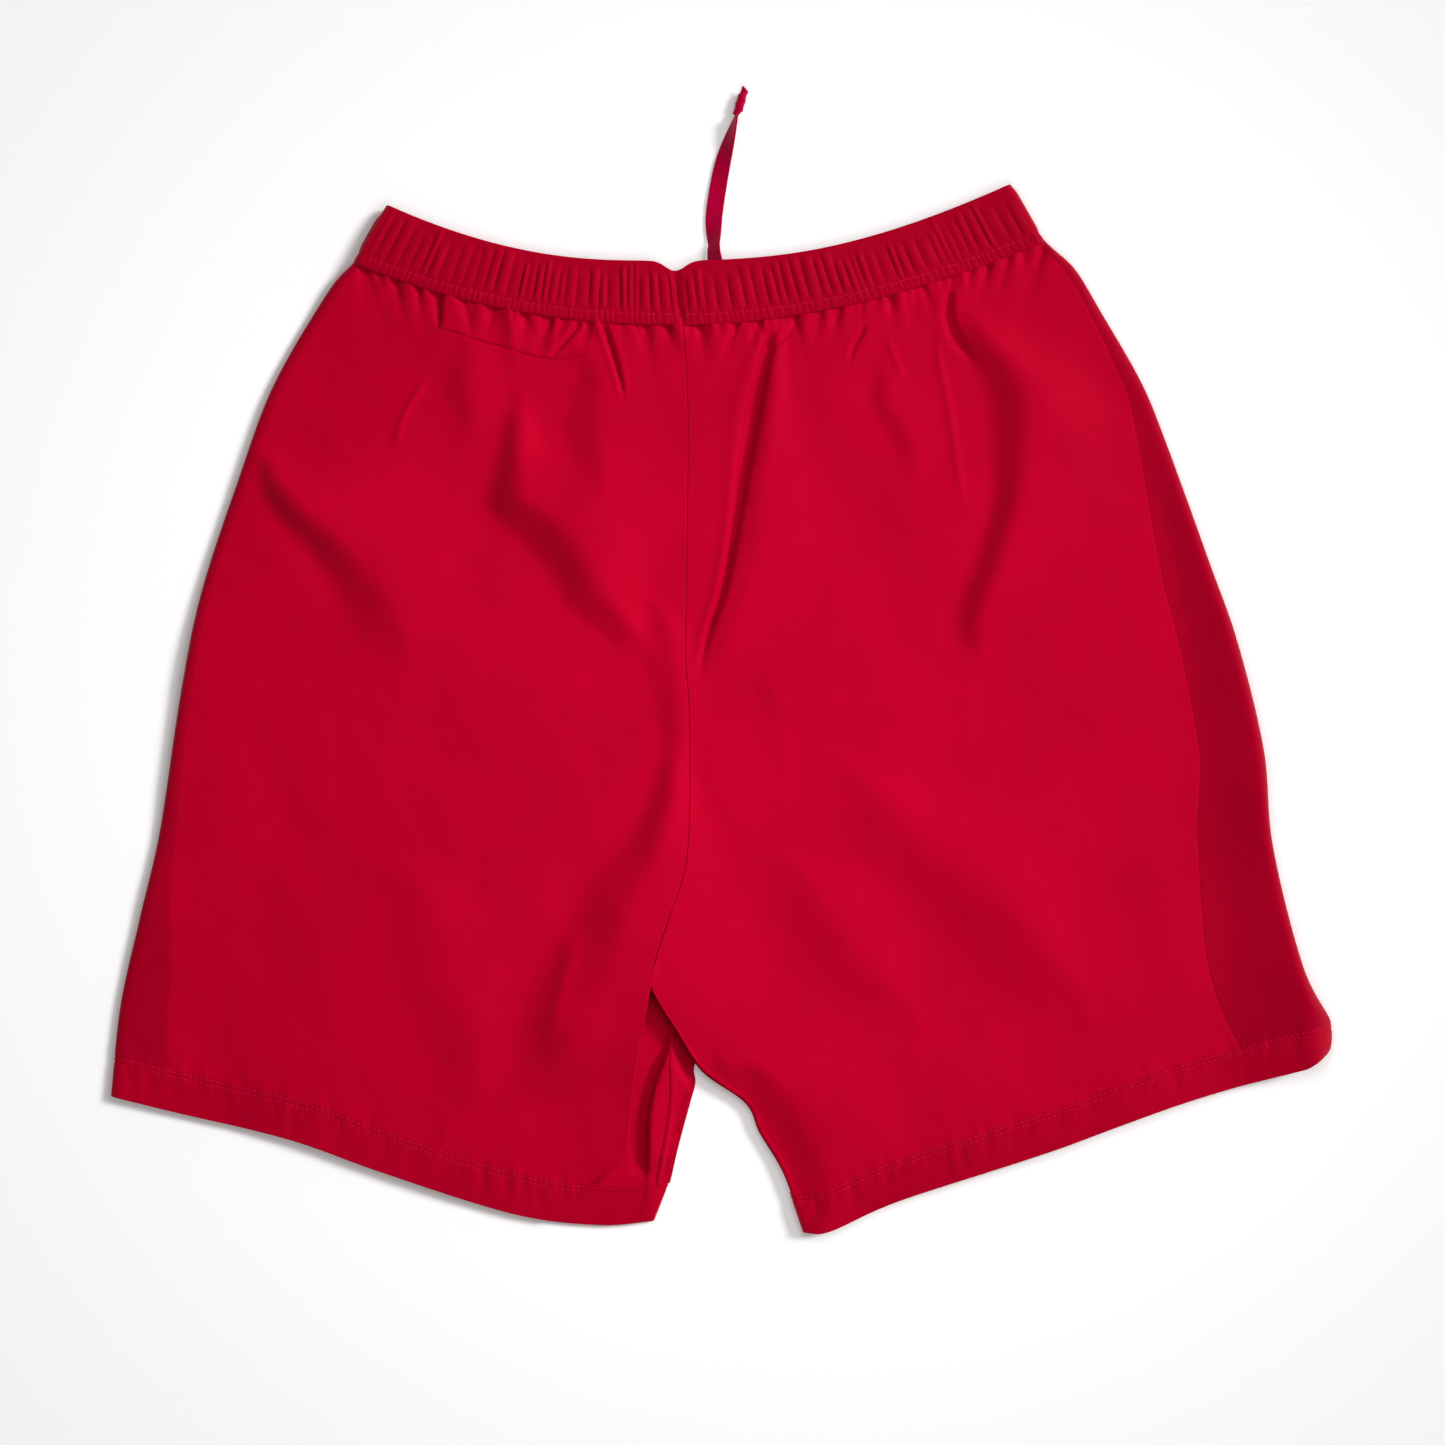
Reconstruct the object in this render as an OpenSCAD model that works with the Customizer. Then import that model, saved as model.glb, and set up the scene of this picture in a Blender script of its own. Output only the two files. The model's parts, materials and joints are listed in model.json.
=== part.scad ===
// Boxing shorts that lie flat with their back facing up and their waistband towards +Y.
// The wearer's left is towards -X. Z = 0 is the surface that they lie on. Units are millimetres.
// The front layer lies on that surface and the back layer lies over it, with the hollow for the
// wearer between them. Every sheet is drawn thicker than cloth, so that it is a sound solid.

/* [Layout] */
// Distance from the middle of the layout to each outer hem corner
half_width = 323; // [310:1:336]
// Distance from the middle of the layout to its highest and lowest points
half_length = 277; // [270:1:284]
// Place of the centre seams across the layout
centre_x = -19; // [-24:1:-14]
// Height of the crotch point along the layout
crotch_y = -160; // [-170:1:-150]

/* [Waistband] */
// Depth of the waistband, from its top edge to the seam under it
band_depth = 31; // [28:1:34]
// Height of the waistband's top edge at the centre seam
band_top_y = 233; // [228:1:236]
// Thickness of the waistband with its elastic and drawcord inside
band_t = 3.4; // [3.4:0.1:4]
// Width of the elastic
elastic_w = 28; // [24:1:28]

/* [Legs] */
// Depth of the turned-up hem
hem_depth = 22; // [18:1:26]
// Thickness of the panels
panel_t = 1; // [0.8:0.1:1.2]
// Thickness of the hem, which is folded cloth
hem_t = 1.6; // [1.4:0.1:2]
// Clear height between the front and back panels
hollow_h = 7.2; // [6.8:0.1:8]

/* [Drawcord] */
// Width of the flat drawcord
cord_w = 9; // [7:0.5:9]
// Thickness of the flat drawcord
cord_t = 0.9; // [0.7:0.1:0.9]
// Distance of each drawcord slot from the centre seam
slot_offset = 16; // [15:1:20]

/* [Pockets] */
// Length of the back pocket's opening
back_pocket_w = 92; // [80:1:110]
// Depth of the back pocket's bag
back_pocket_depth = 128; // [110:1:140]
// How far a side pocket's bag reaches in from the side seam
side_bag_w = 95; // [80:1:105]
// Depth of a side pocket's bag
side_bag_depth = 185; // [160:1:200]

/* [Hidden] */

// A side of the garment. Lists with two entries hold the left value, then the right value.
LEFT = 0;
RIGHT = 1;
outward = [-1, 1];

// The halves stop just short of the fold line, so that they can turn against each other.
fold_clearance = 0.3;
fold_x = [centre_x - fold_clearance, centre_x + fold_clearance];

steps = 20;
overlap = 20;
shell_colour = [0.72, 0.0, 0.145];
side_colour = [0.6, 0.0, 0.12];
trim_colour = [0.8, 0.1, 0.25];
inner_colour = [0.85, 0.82, 0.8];
label_colour = [0.95, 0.95, 0.93];

// Heights of the layers
back_z = panel_t + hollow_h;
back_top = back_z + panel_t;
hem_back_z = back_top - (hem_t + panel_t) / 2;
band_gap = 5;
band_back_z = band_t + band_gap;
band_top = band_back_z + band_t;
casing_t = 0.5;
play = 0.1;
elastic_t = band_t - 2 * casing_t - 3 * play - cord_t;
elastic_z = [casing_t + play, band_top - casing_t - play - elastic_t];
cord_z = [elastic_z[0] + elastic_t + play, elastic_z[1] - play - cord_t];
thread_t = 0.4;

// Curves of the waistband: how far it reaches out from the centre seam at its two edges,
// how far its ends rise, and how sharply they do.
top_span = [158, 172];
flare = 18;
rise = [half_length - band_top_y - 11, half_length - band_top_y];
bend = [2.2, 1.8];

// Corners of the legs
hem_outer = [[-half_width, -205], [half_width, -180]];
hem_inner = [[-33, -271], [44, -half_length]];

// A cubic curve through its first and last points
function bezier(c, t) =
    pow(1 - t, 3) * c[0] + 3 * t * pow(1 - t, 2) * c[1]
    + 3 * t * t * (1 - t) * c[2] + pow(t, 3) * c[3];
function curve(c) = [for (i = [0 : steps]) bezier(c, i / steps)];
function mix(a, b, t) = a + (b - a) * t;
function unit(v) = v / norm(v);
function reversed(list) = [for (i = [len(list) - 1 : -1 : 0]) list[i]];
function total(list, i = 0) = i < len(list) ? list[i] + total(list, i + 1) : 0;
function turning(p) =
    total([for (i = [0 : len(p) - 1]) cross(p[i], p[(i + 1) % len(p)])]);
// The outline in the counter-clockwise sense
function outline(p) = turning(p) < 0 ? reversed(p) : p;

// A point of the waistband. level is 0 at the seam under it and 1 at its top edge, across is 0 at
// the fold and 1 at the end, and inset shortens it at the end.
function band_span(side, level) = top_span[side] + flare * (1 - level);
function band_point(side, across, level, inset = 0) =
    let (end_x = centre_x + outward[side] * (band_span(side, level) - inset))
    let (x = mix(fold_x[side], end_x, across))
    let (share = abs(x - centre_x) / band_span(side, level))
    [x, band_top_y - band_depth * (1 - level) + rise[side] * pow(share, bend[side])];
function band_line(side, level, from = 0, to = 1, inset = 0) =
    [for (i = [0 : steps]) band_point(side, mix(from, to, i / steps), level, inset)];
function level_of(height) = height / band_depth;

// Edges of each half
side_edge = [
    [band_point(LEFT, 1, 0), [-270, 130], [-290, -20], hem_outer[LEFT]],
    [band_point(RIGHT, 1, 0), [236, 160], [284, 0], hem_outer[RIGHT]]
];
hem_edge = [
    [hem_outer[LEFT], [-230, -227], [-130, -268], hem_inner[LEFT]],
    [hem_outer[RIGHT], [226, -212], [112, -256], hem_inner[RIGHT]]
];
inner_edge = [
    [[fold_x[LEFT], crotch_y], [fold_x[LEFT], -195], [-24, -236], hem_inner[LEFT]],
    [[fold_x[RIGHT], crotch_y], [8, -200], [28, -240], hem_inner[RIGHT]]
];

// A line that runs along the hem, a distance above its lower edge
function along_side(side) = unit(side_edge[side][2] - side_edge[side][3]);
function along_inner(side) = unit(inner_edge[side][2] - inner_edge[side][3]);
function hem_line(side, lift, from = 0, to = 1) = [
    for (i = [0 : steps])
        let (t = mix(from, to, i / steps))
        bezier(hem_edge[side], t) + lift * mix(along_side(side), along_inner(side), t)
];

// The side edge moved inwards, by a distance that grows towards the hem
function inset_edge(side, top_w, hem_w) = [
    for (i = [0 : steps])
        bezier(side_edge[side], i / steps) - [outward[side] * mix(top_w, hem_w, i / steps), 0]
];

// A rectangle with round corners, from its centre
function rounded(w, h, r) = [
    for (corner = [0 : 3])
        let (sx = corner == 0 || corner == 3 ? 1 : -1)
        let (sy = corner < 2 ? 1 : -1)
        for (a = [0 : 15 : 90])
            [sx * (w / 2 - r), sy * (h / 2 - r)]
            + r * [cos(a + 90 * corner), sin(a + 90 * corner)]
];

// Widths of the side panel on each layer, at the waistband and at the hem
side_top_w = 6;
side_back_w = [30, 50];
side_front_w = [50, 30];
wall_t = 1;

module leg_area(side) {
    polygon(outline(concat(
        band_line(side, 0),
        curve(side_edge[side]),
        curve(hem_edge[side]),
        reversed(curve(inner_edge[side]))
    )));
}

module hem_area(side) {
    line = hem_line(side, hem_depth);
    last = len(line) - 1;
    polygon(outline(concat(
        line,
        [line[last] - [outward[side] * overlap, 0]],
        [hem_inner[side] - [outward[side] * overlap, overlap]],
        [hem_outer[side] + [outward[side] * overlap, -overlap * 5]],
        [line[0] + [outward[side] * overlap, 0]]
    )));
}

module side_area(side, hem_w) {
    polygon(outline(concat(
        inset_edge(side, side_top_w, hem_w),
        reversed(inset_edge(side, -overlap, -overlap))
    )));
}

module wall_area(side) {
    intersection() {
        leg_area(side);
        polygon(outline(concat(
            inset_edge(side, wall_t, wall_t),
            reversed(inset_edge(side, -overlap, -overlap))
        )));
    }
}

module inner_wall_area(side) {
    edge = curve(inner_edge[side]);
    polygon(outline(concat(
        edge,
        reversed([for (p = edge) p + [outward[side] * wall_t, 0]])
    )));
}

module layer(z, height) {
    translate([0, 0, z])
        linear_extrude(height)
            children();
}

// One leg's sheet on one layer, between the centre seam, the side seam and the hem
module leg_panel(side, z, side_w) {
    color(shell_colour)
        layer(z, panel_t)
            difference() {
                leg_area(side);
                side_area(side, side_w);
                hem_area(side);
            }
}

// The insert along one side: a strip on the back, a strip on the front and the turn between them
module side_panel(side) {
    color(side_colour) {
        layer(0, panel_t)
            difference() {
                intersection() {
                    leg_area(side);
                    side_area(side, side_front_w[side]);
                }
                hem_area(side);
            }
        layer(back_z, panel_t)
            difference() {
                intersection() {
                    leg_area(side);
                    side_area(side, side_back_w[side]);
                }
                hem_area(side);
            }
        layer(0, back_top)
            wall_area(side);
    }
}

// The seam that closes the inside of one leg
module inseam(side) {
    color(shell_colour)
        layer(panel_t, hollow_h)
            difference() {
                inner_wall_area(side);
                hem_area(side);
            }
    color(shell_colour)
        layer(hem_t, hem_back_z - hem_t)
            intersection() {
                inner_wall_area(side);
                hem_area(side);
            }
}

module hem(side, z) {
    color(shell_colour)
        layer(z, hem_t)
            difference() {
                intersection() {
                    leg_area(side);
                    hem_area(side);
                }
                wall_area(side);
            }
}

// Two rows of thread along the upper edge of the back hem
stitch_lift = [hem_depth - 1, hem_depth - 3.5];
stitch_w = 0.6;
module hem_stitching(side) {
    color(trim_colour)
        layer(hem_back_z + hem_t, thread_t)
            for (lift = stitch_lift)
                polygon(outline(concat(
                    hem_line(side, lift, 0.02, 0.98),
                    reversed(hem_line(side, lift - stitch_w, 0.02, 0.98))
                )));
}

// The casing of the waistband along one layer, a flat sleeve that is open at both ends
casing_level = [level_of(1), level_of(band_depth - 1)];
module casing(side, z) {
    difference() {
        layer(z, band_t)
            polygon(outline(concat(
                band_line(side, 1, inset = band_t),
                reversed(band_line(side, 0, inset = band_t))
            )));
        layer(z + casing_t, band_t - 2 * casing_t)
            polygon(outline(concat(
                band_line(side, casing_level[1], -0.02, 1.02, band_t),
                reversed(band_line(side, casing_level[0], -0.02, 1.02, band_t))
            )));
    }
}

module back_waistband(side) {
    color(shell_colour)
        casing(side, band_back_z);
}

// The front casing has a slot in its inner wall, where the drawcord comes out
slot_y = band_point(RIGHT, slot_offset / top_span[RIGHT], 0.5)[1];
slot_x = [centre_x - slot_offset, centre_x + slot_offset];
slot_w = cord_w + 1.4;
slot_h = cord_t + 1.5;
module front_waistband(side) {
    color(shell_colour)
        difference() {
            casing(side, 0);
            translate([slot_x[side] - slot_w / 2, slot_y - slot_h / 2, band_t / 2])
                cube([slot_w, slot_h, band_t]);
        }
}

// The part of the waistband between two distances from its end
module band_end(side, near, far, level = [0, 1]) {
    polygon(outline([
        band_point(side, 1, level[0], near),
        band_point(side, 1, level[0], far),
        band_point(side, 1, level[1], far),
        band_point(side, 1, level[1], near)
    ]));
}

// Where the casing turns round the hip from the front to the back
module side_waistband(side) {
    color(shell_colour)
        difference() {
            layer(0, band_top)
                band_end(side, 0, band_t);
            layer(casing_t, band_top - 2 * casing_t)
                band_end(side, casing_t, band_t - casing_t, casing_level);
            for (z = [casing_t, band_back_z + casing_t])
                layer(z, band_t - 2 * casing_t)
                    band_end(side, casing_t, band_t + 1, casing_level);
        }
}

// A strip inside the waistband: along the front, round the hip and along the back
module band_strip(side, z, thick, inset, level, start_x) {
    for (i = [0, 1]) {
        start = i == 0 ? start_x / top_span[side] : 0;
        layer(z[i], thick)
            polygon(outline(concat(
                band_line(side, level[1], start, 1, inset),
                reversed(band_line(side, level[0], start, 1, inset))
            )));
    }
    layer(z[0], z[1] + thick - z[0])
        band_end(side, inset, inset + thick, level);
}

elastic_level = [
    level_of((band_depth - elastic_w) / 2),
    level_of((band_depth + elastic_w) / 2)
];
module waist_elastic(side) {
    color(inner_colour)
        band_strip(side, elastic_z, elastic_t, casing_t + play, elastic_level, 0);
}

cord_level = [
    level_of((band_depth - cord_w) / 2),
    level_of((band_depth + cord_w) / 2)
];
module drawcord_run(side) {
    color(trim_colour)
        band_strip(
            side, cord_z, cord_t, elastic_z[0] + elastic_t + play,
            cord_level, slot_offset - slot_w / 2
        );
}

// A row of thread along the lower edge of the back of the waistband
band_stitch_level = level_of(5);
module waistband_stitching(side) {
    color(trim_colour)
        layer(band_top, thread_t)
            polygon(outline(concat(
                band_line(side, band_stitch_level, 0.01, 0.99),
                reversed(band_line(side, band_stitch_level + level_of(stitch_w), 0.01, 0.99))
            )));
}

// The sewn edge of a drawcord slot
slot_rim = 1.3;
module drawcord_slot(side) {
    color(trim_colour)
        translate([slot_x[side], slot_y, 0])
            layer(band_t, thread_t)
                difference() {
                    polygon(rounded(slot_w + 2 * slot_rim, slot_h + 2 * slot_rim, slot_rim));
                    square([slot_w, slot_h], center = true);
                }
}

// Routes of the drawcord's free ends. The right one comes out over the top of the waistband,
// and the left one lies between the layers.
rise_z = 5.5;
cord_route = [
    [
        [-35, 217.5, 2.9], [-35, 216.5, 4.6], [-35, 213, rise_z], [-35, 204, 5.2],
        [-36, 195, 2.6], [-37, 184, 1.9], [-39, 168, 1.9], [-42, 150, 1.9], [-45, 132, 1.9]
    ],
    [
        [-3, 217.5, 2.9], [-3, 218.5, 4.6], [-3, 222, rise_z], [-3, 232, rise_z],
        [-4, 240, 3.6], [-4, 247, 1.4], [-4, 260, 0.9], [-2, 275, 0.9], [1, 290, 0.9],
        [5, 304, 0.9], [8, 314, 0.9]
    ]
];

// A flat cord swept along a route, with its width level
function cord_ring(p, along, w, t) =
    let (across = unit(abs(along[2]) > 0.99 ? [1, 0, 0] : cross(along, [0, 0, 1])))
    let (up = cross(across, along))
    [
        for (q = [[1, 1], [2, 0.5], [2, -0.5], [1, -1], [-1, -1], [-2, -0.5], [-2, 0.5], [-1, 1]])
            let (reach = sign(q[0]) * (abs(q[0]) == 2 ? w / 2 : w / 2 - t / 2))
            p + across * reach + up * (q[1] * t / 2)
    ];

module flat_cord(route, w, t) {
    last = len(route) - 1;
    sides = 8;
    rings = [
        for (i = [0 : last])
            let (along = unit(route[min(i + 1, last)] - route[max(i - 1, 0)]))
            cord_ring(route[i], i == 0 ? [0, 0, 1] : along, w, t)
    ];
    polyhedron(
        points = [for (ring = rings, p = ring) p],
        faces = concat(
            [[for (k = [0 : sides - 1]) k]],
            [[for (k = [sides - 1 : -1 : 0]) last * sides + k]],
            [
                for (i = [0 : last - 1], k = [0 : sides - 1], half = [0, 1])
                    let (a = i * sides + k)
                    let (b = i * sides + (k + 1) % sides)
                    half == 0 ? [a, a + sides, b] : [b, a + sides, b + sides]
            ]
        )
    );
}

module drawcord_end(side) {
    color(trim_colour)
        flat_cord(cord_route[side], cord_w, cord_t);
}

// The knot at the end of the cord, a barrel along the cord's last stretch
knot_l = 14;
knot_r = 3;
module drawcord_knot(side) {
    route = cord_route[side];
    tip = route[len(route) - 1];
    along = unit(tip - route[len(route) - 2]);
    lift = side == LEFT ? panel_t + knot_r + play : knot_r;
    color(trim_colour)
        translate([tip[0], tip[1], lift])
            rotate([0, 0, atan2(along[1], along[0])])
                rotate([0, 90, 0])
                    rotate_extrude($fn = 32)
                        polygon([
                            [0, 0], [knot_r * 0.6, 0], [knot_r, knot_l * 0.25],
                            [knot_r, knot_l * 0.65], [knot_r * 0.5, knot_l], [0, knot_l]
                        ]);
}

// Seam allowances of the centre seams, on the inside of each layer
allowance_w = 9;
allowance_t = 0.8;
module centre_seam(z) {
    color(shell_colour)
        translate([fold_x[RIGHT], crotch_y + 10, z])
            cube([allowance_w, band_top_y - band_depth - crotch_y - 11, allowance_t]);
}

module centre_back_seam() {
    centre_seam(back_z - play - allowance_t);
}

module centre_front_seam() {
    centre_seam(panel_t + play);
}

// A side pocket's bag lies on the front panel and hangs from the side seam
bag_t = 1.4;
bag_top_y = 190;
bag_inset = 1.3;
bag_corner_r = 25;
bag_excess = 60;
module side_pocket_bag(side) {
    seam = bezier(side_edge[side], 0.35);
    middle_x = seam[0] - outward[side] * (side_bag_w - bag_excess) / 2;
    middle_y = bag_top_y - side_bag_depth / 2;
    color(inner_colour)
        layer(panel_t + play, bag_t)
            intersection() {
                translate([middle_x, middle_y])
                    polygon(outline(rounded(side_bag_w + bag_excess, side_bag_depth, bag_corner_r)));
                difference() {
                    leg_area(side);
                    polygon(outline(concat(
                        inset_edge(side, bag_inset, bag_inset),
                        reversed(inset_edge(side, -overlap, -overlap))
                    )));
                }
            }
}

// The back pocket sits under the waistband on the wearer's left
pocket_at = [-106, 193];
pocket_angle = -10;
welt_h = 11;
welt_t = 0.8;
module back_pocket_welt() {
    color(shell_colour)
        translate([pocket_at[0], pocket_at[1], back_top])
            rotate([0, 0, pocket_angle])
                linear_extrude(welt_t)
                    polygon(outline(rounded(back_pocket_w, welt_h, 2)));
}

module back_pocket_bag() {
    drop = back_pocket_depth / 2 - welt_h / 2;
    color(inner_colour)
        translate([pocket_at[0], pocket_at[1], back_z - play - allowance_t])
            rotate([0, 0, pocket_angle])
                translate([0, -drop, 0])
                    linear_extrude(allowance_t)
                        polygon(outline(rounded(back_pocket_w + 10, back_pocket_depth, 15)));
}

// A blank label under the back of the waistband
label_size = [32, 20, 0.5];
module size_label() {
    color(label_colour)
        translate([fold_x[RIGHT] + allowance_w + 1, band_top_y - band_depth - 2, back_z - play])
            translate([0, -label_size[1], -label_size[2]])
                cube(label_size);
}

// A blank label in the left side seam, lying on the pocket bag
care_size = [24, 42, 0.4];
care_at = [-268, -5];
module care_label() {
    color(label_colour)
        translate([care_at[0], care_at[1], panel_t + bag_t + 3 * play])
            cube(care_size);
}

module left_back_panel() { leg_panel(LEFT, back_z, side_back_w[LEFT]); }
module right_back_panel() { leg_panel(RIGHT, back_z, side_back_w[RIGHT]); }
module left_front_panel() { leg_panel(LEFT, 0, side_front_w[LEFT]); }
module right_front_panel() { leg_panel(RIGHT, 0, side_front_w[RIGHT]); }
module left_side_panel() { side_panel(LEFT); }
module right_side_panel() { side_panel(RIGHT); }
module left_inseam() { inseam(LEFT); }
module right_inseam() { inseam(RIGHT); }
module left_back_hem() { hem(LEFT, hem_back_z); }
module right_back_hem() { hem(RIGHT, hem_back_z); }
module left_front_hem() { hem(LEFT, 0); }
module right_front_hem() { hem(RIGHT, 0); }
module left_hem_stitching() { hem_stitching(LEFT); }
module right_hem_stitching() { hem_stitching(RIGHT); }
module left_back_waistband() { back_waistband(LEFT); }
module right_back_waistband() { back_waistband(RIGHT); }
module left_side_waistband() { side_waistband(LEFT); }
module right_side_waistband() { side_waistband(RIGHT); }
module left_front_waistband() { front_waistband(LEFT); }
module right_front_waistband() { front_waistband(RIGHT); }
module left_waist_elastic() { waist_elastic(LEFT); }
module right_waist_elastic() { waist_elastic(RIGHT); }
module left_waistband_stitching() { waistband_stitching(LEFT); }
module right_waistband_stitching() { waistband_stitching(RIGHT); }
module left_drawcord_run() { drawcord_run(LEFT); }
module right_drawcord_run() { drawcord_run(RIGHT); }
module left_drawcord_slot() { drawcord_slot(LEFT); }
module right_drawcord_slot() { drawcord_slot(RIGHT); }
module left_drawcord_end() { drawcord_end(LEFT); }
module right_drawcord_end() { drawcord_end(RIGHT); }
module left_drawcord_knot() { drawcord_knot(LEFT); }
module right_drawcord_knot() { drawcord_knot(RIGHT); }
module left_side_pocket_bag() { side_pocket_bag(LEFT); }
module right_side_pocket_bag() { side_pocket_bag(RIGHT); }

left_back_panel();
right_back_panel();
left_front_panel();
right_front_panel();
left_side_panel();
right_side_panel();
left_inseam();
right_inseam();
left_back_hem();
right_back_hem();
left_front_hem();
right_front_hem();
left_hem_stitching();
right_hem_stitching();
left_back_waistband();
right_back_waistband();
left_side_waistband();
right_side_waistband();
left_front_waistband();
right_front_waistband();
left_waist_elastic();
right_waist_elastic();
left_waistband_stitching();
right_waistband_stitching();
left_drawcord_run();
right_drawcord_run();
left_drawcord_slot();
right_drawcord_slot();
left_drawcord_end();
right_drawcord_end();
left_drawcord_knot();
right_drawcord_knot();
centre_back_seam();
centre_front_seam();
left_side_pocket_bag();
right_side_pocket_bag();
back_pocket_welt();
back_pocket_bag();
size_label();
care_label();
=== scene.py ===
"""Boxing shorts that lie flat with their back facing up: the looks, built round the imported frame.

Lengths are in millimetres until a mesh is made. The wearer's left is towards -X, the waistband is
towards +Y, and the surface that the shorts lie on is at Z = 0.
"""

import json
import math

import bmesh
import bpy
import numpy as np
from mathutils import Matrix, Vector


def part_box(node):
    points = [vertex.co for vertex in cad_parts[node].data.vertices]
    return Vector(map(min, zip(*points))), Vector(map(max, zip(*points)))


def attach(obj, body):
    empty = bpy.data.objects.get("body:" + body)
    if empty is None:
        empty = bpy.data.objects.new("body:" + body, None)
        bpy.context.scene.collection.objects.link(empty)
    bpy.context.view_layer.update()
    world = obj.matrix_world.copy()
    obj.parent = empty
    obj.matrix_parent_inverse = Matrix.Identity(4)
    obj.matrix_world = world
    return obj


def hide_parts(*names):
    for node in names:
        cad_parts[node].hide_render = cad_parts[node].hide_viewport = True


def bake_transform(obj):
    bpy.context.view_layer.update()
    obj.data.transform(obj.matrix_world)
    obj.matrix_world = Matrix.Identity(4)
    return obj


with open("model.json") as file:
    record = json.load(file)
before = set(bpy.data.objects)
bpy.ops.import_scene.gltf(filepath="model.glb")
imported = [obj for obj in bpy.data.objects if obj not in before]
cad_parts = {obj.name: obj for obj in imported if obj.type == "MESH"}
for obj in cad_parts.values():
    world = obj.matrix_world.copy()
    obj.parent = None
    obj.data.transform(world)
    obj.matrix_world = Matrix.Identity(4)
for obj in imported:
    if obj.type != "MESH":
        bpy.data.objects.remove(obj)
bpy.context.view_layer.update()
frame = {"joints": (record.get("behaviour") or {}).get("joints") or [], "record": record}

MM = 0.001
LEFT, RIGHT = 0, 1
NAMES = ("left", "right")
BODIES = ("left_half", "right_half")
OUTWARD = (-1, 1)


def box_mm(node):
    """Lowest and highest corner of a CAD node, in millimetres."""
    low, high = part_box(node)
    return np.array(low) / MM, np.array(high) / MM


# ---- Driving values, from the frame ----
HINGE = frame["joints"][0]["pos_m"]
CENTRE_X = HINGE[0] / MM
HEM_X = (box_mm("left_back_hem")[0][0], box_mm("right_back_hem")[1][0])
BAND_BACK_Z = box_mm("right_back_waistband")[0][2]
BAND_T = box_mm("right_front_waistband")[1][2]
SLOTS = [(box_mm(f"{n}_drawcord_slot")[0] + box_mm(f"{n}_drawcord_slot")[1]) / 2 for n in NAMES]

BAND_DEPTH = 31
BAND_TOP_CENTRE_Y = 233
HEM_DEPTH = 22
CLOTH_T = 0.35


# ---- Curves and grids ----
def smooth(t):
    """A smooth step from 0 to 1 while t goes from 0 to 1."""
    t = np.clip(t, 0, 1)
    return t * t * (3 - 2 * t)


def bump(d, width):
    """A rounded hump, 1 in its middle."""
    return np.exp(-((d / width) ** 2))


def unit(v):
    """Vectors of length 1 along the given ones."""
    return v / np.maximum(np.linalg.norm(v, axis=-1), 1e-9)[..., None]


def circle(count):
    """Angles at even steps once round."""
    return np.linspace(0, 2 * math.pi, count, endpoint=False)


def raised(xy, z):
    """Points in space from plane points and their heights."""
    return np.concatenate([xy, z[..., None]], -1)


def spread(values, share):
    """Values given at even steps, read at a share of the way along."""
    values = np.atleast_1d(values)
    return np.interp(share, np.linspace(0, 1, len(values)), values)


def resample(line, shares):
    """Points of a polyline at shares of its length."""
    step = np.linalg.norm(np.diff(line, axis=0), axis=1)
    at = np.concatenate([[0], np.cumsum(step)])
    at /= at[-1]
    return np.stack([np.interp(shares, at, line[:, k]) for k in range(line.shape[1])], 1)


def spline(points, count=200):
    """Evenly spaced points of a smooth curve through the given ones."""
    p = np.array(points, float)
    p = np.vstack([2 * p[0] - p[1], p, 2 * p[-1] - p[-2]])
    t = np.linspace(0, 1, 25)[:-1, None]
    runs = []
    for a, b, c, d in zip(p[:-3], p[1:-2], p[2:-1], p[3:]):
        cubic = 3 * b - a - 3 * c + d
        runs.append(0.5 * (2 * b + (c - a) * t + (2 * a - 5 * b + 4 * c - d) * t**2 + cubic * t**3))
    return resample(np.vstack(runs + [p[-2:-1]]), np.linspace(0, 1, count))


def length_of(line):
    return float(np.linalg.norm(np.diff(line, axis=0), axis=1).sum())


def normals_2d(line):
    """Unit normals of a plane curve, to the left of its direction."""
    along = unit(np.gradient(line, axis=0))
    return np.stack([-along[:, 1], along[:, 0]], 1)


def near_path(x, y, path, count=40):
    """Signed distance to a path, positive on the left of its direction, and the share along it."""
    line = spline(path, count)
    best = np.full(x.shape, 1e9)
    sign = np.ones(x.shape)
    share = np.zeros(x.shape)
    for i, (a, b) in enumerate(zip(line[:-1], line[1:])):
        ab = b - a
        t = np.clip(((x - a[0]) * ab[0] + (y - a[1]) * ab[1]) / (ab @ ab), 0, 1)
        dx, dy = x - a[0] - t * ab[0], y - a[1] - t * ab[1]
        d = np.hypot(dx, dy)
        closer = d < best
        best = np.where(closer, d, best)
        sign = np.where(closer, np.sign(ab[0] * dy - ab[1] * dx), sign)
        share = np.where(closer, (i + t) / (count - 1), share)
    return best * sign, share


def soft_near_path(x, y, path, count=40, soften=5.0):
    """Distance from a path and share along it, both without a kink where the nearest part changes."""
    shares = np.linspace(0, 1, count)
    line = spline(path, count)
    distance = np.hypot(x[..., None] - line[:, 0], y[..., None] - line[:, 1])
    nearest = distance.min(-1, keepdims=True)
    weight = np.exp((nearest - distance) / (soften + 0.25 * nearest))
    weight /= weight.sum(-1, keepdims=True)
    return (weight * distance).sum(-1), weight @ shares


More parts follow.
